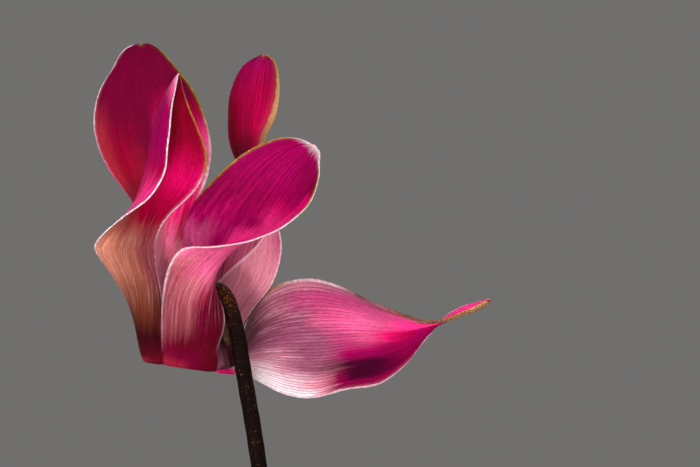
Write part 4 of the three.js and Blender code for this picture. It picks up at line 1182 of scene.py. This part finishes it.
def stalk_material():
    """Reddish leaf stalks, greener towards the blade."""
    shader = Shader("leaf_stalk", 0.5, 0.35)
    v = shader.split(shader.place("UV"))[1]
    speckle = shader.noise(shader.place(), 900.0, 3.0)
    colour = shader.ramp(v, [(0.0, (92, 50, 40)), (0.5, (124, 58, 54)), (1.0, (118, 100, 66))])
    shader.colour(shader.mix(shader.ease(speckle, 0.45, 0.7, 0.0, 0.5), colour, (68, 30, 26)))
    shader.bump(speckle, 0.0002, 0.5)
    return shader.material


def stem_material():
    """Very dark brown with tan flecks, which crowd together over the hook."""
    shader = Shader("flower_stem", 0.65, 0.05)
    place = shader.place()
    hook = shader.ease(shader.marks()[0], 17.0, 7.0)
    flecks = shader.noise(place, 2400.0, 4.0, 0.7)
    patches = shader.noise(place, 320.0, 3.0, 0.6)
    colour = shader.mix(patches, (4, 1, 1), (20, 8, 5))
    colour = shader.mix(shader.times(hook, 0.4), colour, (76, 36, 22))
    edge = shader.minus(0.63, shader.times(hook, 0.08))
    fleck = shader.ease(shader.minus(flecks, edge), -0.04, 0.07)
    fleck = shader.times(fleck, shader.plus(0.4, shader.times(hook, 0.4)))
    shader.colour(shader.mix(fleck, colour, (160, 96, 50)))
    shader.bump(flecks, 0.0003, 0.8)
    return shader.material


def hair_material():
    """Fine tan hairs."""
    shader = Shader("stem_hair", 0.7, 0.1)
    shader.colour((64, 38, 26))
    return shader.material


def calyx_material():
    """Brown-green sepals with dark flecks."""
    noise, brown, green = (1100.0, 4.0, 0.65), (62, 26, 26), (104, 80, 46)
    return speckled("calyx", 0.55, 0.35, noise, (0.4, 0.62), brown, green, (0.0002, 0.6))


# --- Pot, soil and tuber ---------------------------------------------------

POT_PROFILE = [
    (44, 1.2), (44.3, 4), (48, 25), (51.7, 46), (55.4, 66), (58.5, 83), (59, 85.6), (59.4, 86.2),
    (63.2, 86.6), (63.8, 87.6), (64.2, 95), (64.7, 103), (65, 108.5), (64.9, 110.4), (64.2, 111.6),
    (63, 112), (61.2, 112), (60.1, 111.5), (59.4, 110), (56.9, 96), (52, 70), (46, 41), (40.4, 12.5),
    (39.5, 8),
]

# The pot's underside, the bore that the soil fills, and the drain holes round the middle.
POT_FOOT = (42.7, 0)
POT_FLOOR = 8.0
POT_SIDES = 144
BORE_FOOT_RADIUS = 39.5
BORE_TOP_RADIUS = 59.3
BORE_TOP = 110
DRAINS = 3
DRAIN_RADIUS = 5.5
DRAIN_RING_RADIUS = 24
DRAIN_SIDES = 30
INSIDE_DRAIN = 0.96
TRIANGLE_TOLERANCE = 1e-7


def floor_triangles(outline, drains):
    """A flat ring of floor between the pot's wall and its drain holes."""
    corners = [Vector(point[:2]) for point in np.concatenate([outline] + drains)]
    edges = []
    start = 0
    for loop in [outline] + drains:
        edges += [(start + i, start + (i + 1) % len(loop)) for i in range(len(loop))]
        start += len(loop)
    found = delaunay_2d_cdt(corners, edges, [], 1, TRIANGLE_TOLERANCE)
    centres = [drain[:, :2].mean(axis=0) for drain in drains]
    faces = []
    for face in found[2]:
        face = [found[3][i][0] for i in face]
        middle = np.mean([corners[i] for i in face], axis=0)
        if all(np.linalg.norm(middle - centre) > DRAIN_RADIUS * INSIDE_DRAIN for centre in centres):
            faces.append(face)
    return faces


def add_pot(shell):
    """The clay pot: a turned wall, a floor above and below, and three drain holes between them."""
    rings = turned_rings(POT_PROFILE, POT_SIDES)
    angles = full_turn(POT_SIDES)
    uneven = 0.12 * np.sin(2 * angles + 1) + 0.05 * np.sin(9 * angles + rings[..., 2] * 0.1)
    rings[..., :2] *= (1 + uneven / 60)[..., None]
    wall = np.concatenate([[level_ring(*POT_FOOT, POT_SIDES)], rings])
    drain = level_ring(DRAIN_RADIUS, 0, DRAIN_SIDES)
    low = [drain + polar(90 + 360 / DRAINS * hole, DRAIN_RING_RADIUS, 0) for hole in range(DRAINS)]
    high = [hole + [0, 0, POT_FLOOR] for hole in low]
    faces = grid_faces(len(wall), POT_SIDES, True)
    low_start = len(wall) * POT_SIDES
    high_start = low_start + DRAINS * DRAIN_SIDES
    for outline, drains, first, start, turn in (
        (wall[0], low, 0, low_start, -1),
        (wall[-1], high, low_start - POT_SIDES, high_start, 1),
    ):
        for face in floor_triangles(outline, drains):
            corners = [first + i if i < POT_SIDES else start + i - POT_SIDES for i in face]
            faces.append(corners[::turn])
    for i in range(DRAINS * DRAIN_SIDES):
        after = i - i % DRAIN_SIDES + (i + 1) % DRAIN_SIDES
        faces.append((low_start + after, low_start + i, high_start + i, high_start + after))
    shell.add(np.concatenate([flat(wall)] + low + high), faces, 0)


def clay_material():
    """Unglazed terracotta: mottled, with a pale bloom of minerals and faint turning marks."""
    shader = Shader("terracotta_clay", 0.88, 0.25)
    ease, mix, times = shader.ease, shader.mix, shader.times
    place = shader.place()
    z = shader.split(place)[2]
    cloudy = shader.noise(place, 34.0, 5.0, 0.6)
    grains = shader.noise(place, 900.0, 3.0, 0.7)
    crust = shader.noise(place, 60.0, 6.0, 0.7)
    colour = mix(ease(cloudy, 0.3, 0.7), (164, 88, 56), (196, 118, 80))
    colour = mix(ease(grains, 0.56, 0.7, 0.0, 0.35), colour, (120, 62, 42))
    low = times(ease(z, 0.05, 0.004), ease(crust, 0.45, 0.62))
    high = times(ease(z, 0.098, 0.112), ease(crust, 0.5, 0.64))
    shader.colour(mix(times(shader.math("MAXIMUM", low, high), 0.45), colour, (222, 200, 180)))
    bands = shader.node("ShaderNodeCombineXYZ", {2: times(z, 1400.0)})
    shader.bump(shader.plus(grains, times(shader.noise(bands, 1.0, 2.0), 0.6)), 0.0003, 0.5)
    return shader.material


# The soil's materials, by their index in a shell.
SOIL_BED, SOIL_BITS, SOIL_GRIT = range(3)

# The soil, the tuber's hollow in it at angles from the tuber's top, and the loose bits on it.
SOIL_TOP = 95
SOIL_SURFACE = SOIL_TOP - 0.4
SOIL_SIDES = 220
SOIL_RINGS = 46
TUBER_RADIUS = 25
TUBER_HALF_HEIGHT = 15
TUBER_CENTRE_Z = 88
HOLLOW_RIM = 64
HOLLOW_LEVELS = (74, 88, 104, 122, 142, 162)
GAP = 0.4
SOIL_WALL_HEIGHTS = (POT_FLOOR + GAP, 30, 60, SOIL_TOP - 3)
CRUMBS = 340
CRUMB_RADII = (29, 54)
GRIT_EVERY = 7


def soil_radius(z):
    """The soil's radius at a height, a gap inside the pot's wall."""
    widening = (BORE_TOP_RADIUS - BORE_FOOT_RADIUS) * (z - POT_FLOOR) / (BORE_TOP - POT_FLOOR)
    return BORE_FOOT_RADIUS + widening - GAP


def hollow_radius(angles, level):
    """The radius of the hollow round the lumpy tuber, at a level from the tuber's top in radians."""
    lumps = 1 + 0.03 * np.sin(3 * angles + level) + 0.015 * np.sin(7 * angles)
    return TUBER_RADIUS * np.sin(level) ** 0.75 * lumps + GAP


def soil_relief(x, y):
    """How far the soil's surface rises or falls: soft rises with small crumbs on them."""
    soft = np.sin(0.17 * x + 0.9) * np.cos(0.21 * y) + 0.6 * np.sin(0.37 * x - 0.29 * y)
    small = np.sin(1.9 * x + 1.3 * np.sin(1.1 * y)) * np.sin(1.7 * y + 1.2 * np.sin(1.3 * x))
    tiny = np.sin(4.1 * x + 2 * np.sin(2.3 * y)) * np.sin(3.7 * y + 2 * np.sin(2.9 * x))
    return 0.45 * soft + 0.4 * small + 0.22 * tiny


def soil_rings():
    """The soil's skin: up from the pot's floor, over its top and down into the tuber's hollow."""
    rings = [level_ring(soil_radius(z), z, SOIL_SIDES) for z in SOIL_WALL_HEIGHTS]
    angles = full_turn(SOIL_SIDES)
    rim = hollow_radius(angles, math.radians(HOLLOW_RIM))
    for t in np.linspace(0, 1, SOIL_RINGS):
        ring = level_ring(soil_radius(SOIL_TOP - 2) * (1 - t) + rim * t, 0, SOIL_SIDES)
        rough = smoothstep(0, 0.06, t)
        calm = 1 - 0.7 * smoothstep(0.9, 1, t)
        settle = 2.2 * (1 - smoothstep(0, 0.12, t)) + 0.3 * smoothstep(0.93, 1, t)
        ring[:, 2] = SOIL_SURFACE + soil_relief(ring[:, 0], ring[:, 1]) * rough * calm - settle
        rings.append(ring)
    for degrees in HOLLOW_LEVELS:
        level = math.radians(degrees)
        z = TUBER_CENTRE_Z + (TUBER_HALF_HEIGHT + GAP) * math.cos(level)
        rings.append(level_ring(hollow_radius(angles, level), z, SOIL_SIDES))
    return np.array(rings)


def add_crumbs(shell, random):
    """Loose bits of soil, bark and white grit that lie on the surface."""
    faces = [(0, 1, 2), (0, 2, 3), (0, 3, 4), (0, 4, 1), (5, 2, 1), (5, 3, 2), (5, 4, 3), (5, 1, 4)]
    shape = np.array([[0, 0, 1], [1, 0, 0], [0, 1, 0], [-1, 0, 0], [0, -1, 0], [0, 0, -1]], float)
    nearest, farthest = CRUMB_RADII
    for index in range(CRUMBS):
        angle = random.random() * 2 * math.pi
        radius = nearest + (farthest - nearest) * random.random()
        x, y = radius * math.cos(angle), radius * math.sin(angle)
        size = 0.5 + 0.9 * random.random() ** 2
        stretch = np.array([1, 0.6 + 0.4 * random.random(), 0.6])
        bit = (shape * stretch + 0.22 * random.normal(size=(6, 3))) * size
        bit = bit @ turn_z(360 * random.random()).T
        height = SOIL_SURFACE + soil_relief(x, y) + 0.25 * size
        shell.add(bit + [x, y, height], faces, SOIL_BITS if index % GRIT_EVERY else SOIL_GRIT)


def soil_material(name, low, high):
    """Damp potting soil in a range of browns."""
    return speckled(name, 0.95, 0.2, (420.0, 5.0, 0.7), (0.32, 0.7), low, high, (0.0016, 1.0))


def cork_material():
    """The tuber's rough corky skin."""
    noise, dark, pale = (210.0, 6.0, 0.7, 0.6), (52, 34, 24), (128, 94, 68)
    return speckled("tuber_cork", 0.9, 0.2, noise, (0.35, 0.65), dark, pale, (0.0012, 1.0))


# --- Building the plant ----------------------------------------------------

random = np.random.default_rng(11)


def build_pot():
    """The pot."""
    shell = Shell()
    add_pot(shell)
    shell.build("pot_clay", [clay_material()], "pot")


def build_soil():
    """The soil and its loose crumbs."""
    shell = Shell()
    rings = soil_rings()
    hollow_foot = rings[-1].mean(axis=0) - [0, 0, 0.4]
    points, faces = skin(rings, [0, 0, POT_FLOOR + GAP], hollow_foot)
    shell.add(points, faces, SOIL_BED)
    add_crumbs(shell, random)
    materials = [
        soil_material("soil_bed", (20, 13, 9), (70, 48, 34)),
        soil_material("soil_bits", (34, 22, 14), (104, 74, 50)),
        soil_material("soil_grit", (150, 142, 130), (206, 200, 188)),
    ]
    shell.build("soil_bed", materials, "soil")


def build_leaves():
    """The thirteen leaves."""
    materials = [leaf_upper_material(), leaf_under_material(), stalk_material()]
    for name, (azimuth, reach, height, size, tilt, _, wave) in LEAVES.items():
        shell = Shell()
        joint = polar(azimuth, reach, height)
        turned = turn_z(azimuth) @ turn_y(tilt)
        add_blade(shell, size, wave, lambda points: points @ turned.T + joint)
        add_leaf_stalk(shell, name)
        shell.build(name + "_blade", materials, name)


def build_main_corolla():
    """The main bloom's five petals."""
    shell = Shell()
    flower = FLOWERS["bloom_main"]
    offset = np.array(flower["place"])
    materials = []
    for index, (name, petal) in enumerate(MAIN_PETALS.items()):
        for side in ("_outer", "_inner"):
            face, seed = MAIN_FACES[name + side], 5.0 * index + 5.0
            materials.append(petal_material("petal_" + name + side, face, len(petal[1]), seed))
        faces = (2 * index, 2 * index + 1)
        relief = RIGHT_RELIEF if name == "right" else MAIN_RELIEF
        look = (MAIN_PETAL_GRID, faces, relief, 1.7 * index)
        add_petal(shell, petal, flower["tilt"], *look, lambda points: points + offset)
    shell.build("bloom_main_petals", materials, "bloom_main_corolla")


def build_plain_corolla(name, flower, materials):
    """The five petals of another open bloom."""
    shell = Shell()
    place = flower_place(flower)
    for index, (azimuth, sway) in enumerate(PLAIN_PETALS):
        petal = plain_petal(azimuth, sway, flower["length"], flower["flare"])
        phase = 1.3 * index + len(name)
        add_petal(shell, petal, 0, PLAIN_PETAL_GRID, (0, 1), PLAIN_RELIEF, phase, place)
    shell.build(name + "_petals", materials, name + "_corolla")


def build_flowers():
    """The open blooms and the buds, each with its stem."""
    stem_materials = [stem_material(), hair_material(), calyx_material()]
    rows = len(PETAL_STATIONS)
    plain = [petal_material("petal_" + key, face, rows, 51.0) for key, face in PLAIN_FACES.items()]
    bud = bud_material()
    build_main_corolla()
    for name, flower in FLOWERS.items():
        shell = Shell()
        add_stem(shell, flower, name, random)
        place = flower_place(flower)
        add_calyx(shell, place, name.startswith("bloom"))
        shell.build(name + "_stalk", stem_materials, name + "_stem")
        if name.startswith("bud"):
            shell = Shell()
            add_bud(shell, place)
            shell.build(name + "_furled", [bud], name)
        elif name != "bloom_main":
            build_plain_corolla(name, flower, plain)


def dress_tuber():
    """Gives the tuber its corky skin."""
    tuber = bpy.data.objects["tuber"]
    tuber.data.materials.clear()
    tuber.data.materials.append(cork_material())


# --- Studio ----------------------------------------------------------------

BACKGROUND = (112, 111, 110)

# The floor's inner and outer ring, as (radius, height) in metres, and where it fades out.
FLOOR_SIDES = 96
FLOOR_RINGS = [(0.6, 0), (9.0, 0)]
FLOOR_FADE = (0.5, 2.6)
PLANT_MIDDLE = (-0.01, 0, 0.22)
LOW_LAMP_SPREAD = 40
CAMERA_DISTANCE = 1.6
CAMERA_X = -0.0042
CAMERA_Z = 0.2955
SENSOR_WIDTH = 36
FRAME_WIDTH = 0.126
NEAREST_SEEN = 0.05
FARTHEST_SEEN = 40


def build_floor():
    """A pale round floor that fades into the background far from the pot."""
    mesh = bpy.data.meshes.new("studio_floor")
    points = [[0, 0, 0]] + flat(turned_rings(FLOOR_RINGS, FLOOR_SIDES)).tolist()
    faces = [(0, 1 + i, 1 + (i + 1) % FLOOR_SIDES) for i in range(FLOOR_SIDES)]
    faces += grid_faces(len(FLOOR_RINGS), FLOOR_SIDES, True, start=1, flip=True)
    mesh.from_pydata(points, [], faces)
    floor = add_object("studio_floor", mesh)
    shader = Shader("studio_floor", 0.8, 0.5)
    shader.colour((196, 193, 188))
    x, y, _ = shader.split(shader.place())
    distance = shader.math("SQRT", shader.plus(shader.times(x, x), shader.times(y, y)))
    far = shader.node("ShaderNodeEmission", {"Color": linear(BACKGROUND), "Strength": 1.0})
    fade = shader.ease(distance, *FLOOR_FADE)
    blended = shader.node("ShaderNodeMixShader", {0: fade, 1: shader.surface.outputs[0], 2: far})
    shader.put(shader.tree.nodes["Material Output"].inputs["Surface"], blended)
    mesh.materials.append(shader.material)
    floor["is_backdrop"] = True


def add_light(name, place, target, size, power, colour):
    """Adds a soft square lamp that looks at a point."""
    lamp = bpy.data.lights.new(name, "AREA")
    lamp.shape = "SQUARE"
    lamp.size = size
    lamp.energy = power
    lamp.color = colour
    holder = add_object(name, lamp)
    holder.location = place
    holder.rotation_euler = (Vector(target) - Vector(place)).to_track_quat("-Z", "Y").to_euler()
    return holder


def build_studio():
    """Lights, background and floor."""
    world = bpy.data.worlds.new("studio")
    bpy.context.scene.world = world
    world.use_nodes = True
    world.node_tree.nodes["Background"].inputs["Color"].default_value = linear(BACKGROUND)
    add_light("key", (0.9, -1.3, 1.4), PLANT_MIDDLE, 0.6, 18, (1.0, 0.98, 0.95))
    add_light("fill", (-1.3, -1.5, 0.4), PLANT_MIDDLE, 0.8, 17, (0.97, 0.98, 1.0))
    add_light("back", (-0.5, 1.5, 1.3), PLANT_MIDDLE, 0.8, 14, (1.0, 1.0, 1.0))
    add_light("top", (0.1, 0.2, 1.9), PLANT_MIDDLE, 1.0, 8, (1.0, 1.0, 1.0))
    low = add_light("low", (-0.14, -0.62, 0.08), (-0.03, 0, 0.28), 0.12, 0.15, (1.0, 1.0, 1.0))
    low.data.spread = math.radians(LOW_LAMP_SPREAD)
    low.visible_camera = False
    build_floor()


def build_camera():
    """A level camera with a long lens, at the height of the main bloom."""
    camera = bpy.data.cameras.new("camera")
    camera.sensor_width = SENSOR_WIDTH
    camera.lens = SENSOR_WIDTH * CAMERA_DISTANCE / FRAME_WIDTH
    camera.clip_start = NEAREST_SEEN
    camera.clip_end = FARTHEST_SEEN
    holder = add_object("camera", camera)
    holder.location = (CAMERA_X, -CAMERA_DISTANCE, CAMERA_Z)
    holder.rotation_euler = (math.radians(90), 0, 0)
    bpy.context.scene.camera = holder


def write_size(before, after):
    """Turns the boxes from before and after dressing, in metres, into lists of numbers, and keeps none
    of them.
    """
    for label, box in (("cad", before), ("dressed", after)):
        [[float(value) for value in corner] for corner in box]


build_studio()
build_camera()
build_pot()
build_soil()
dress_tuber()
build_leaves()
build_flowers()
bpy.context.scene.view_settings.view_transform = "Standard"
bpy.context.view_layer.update()
write_size(cad_bounds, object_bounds())
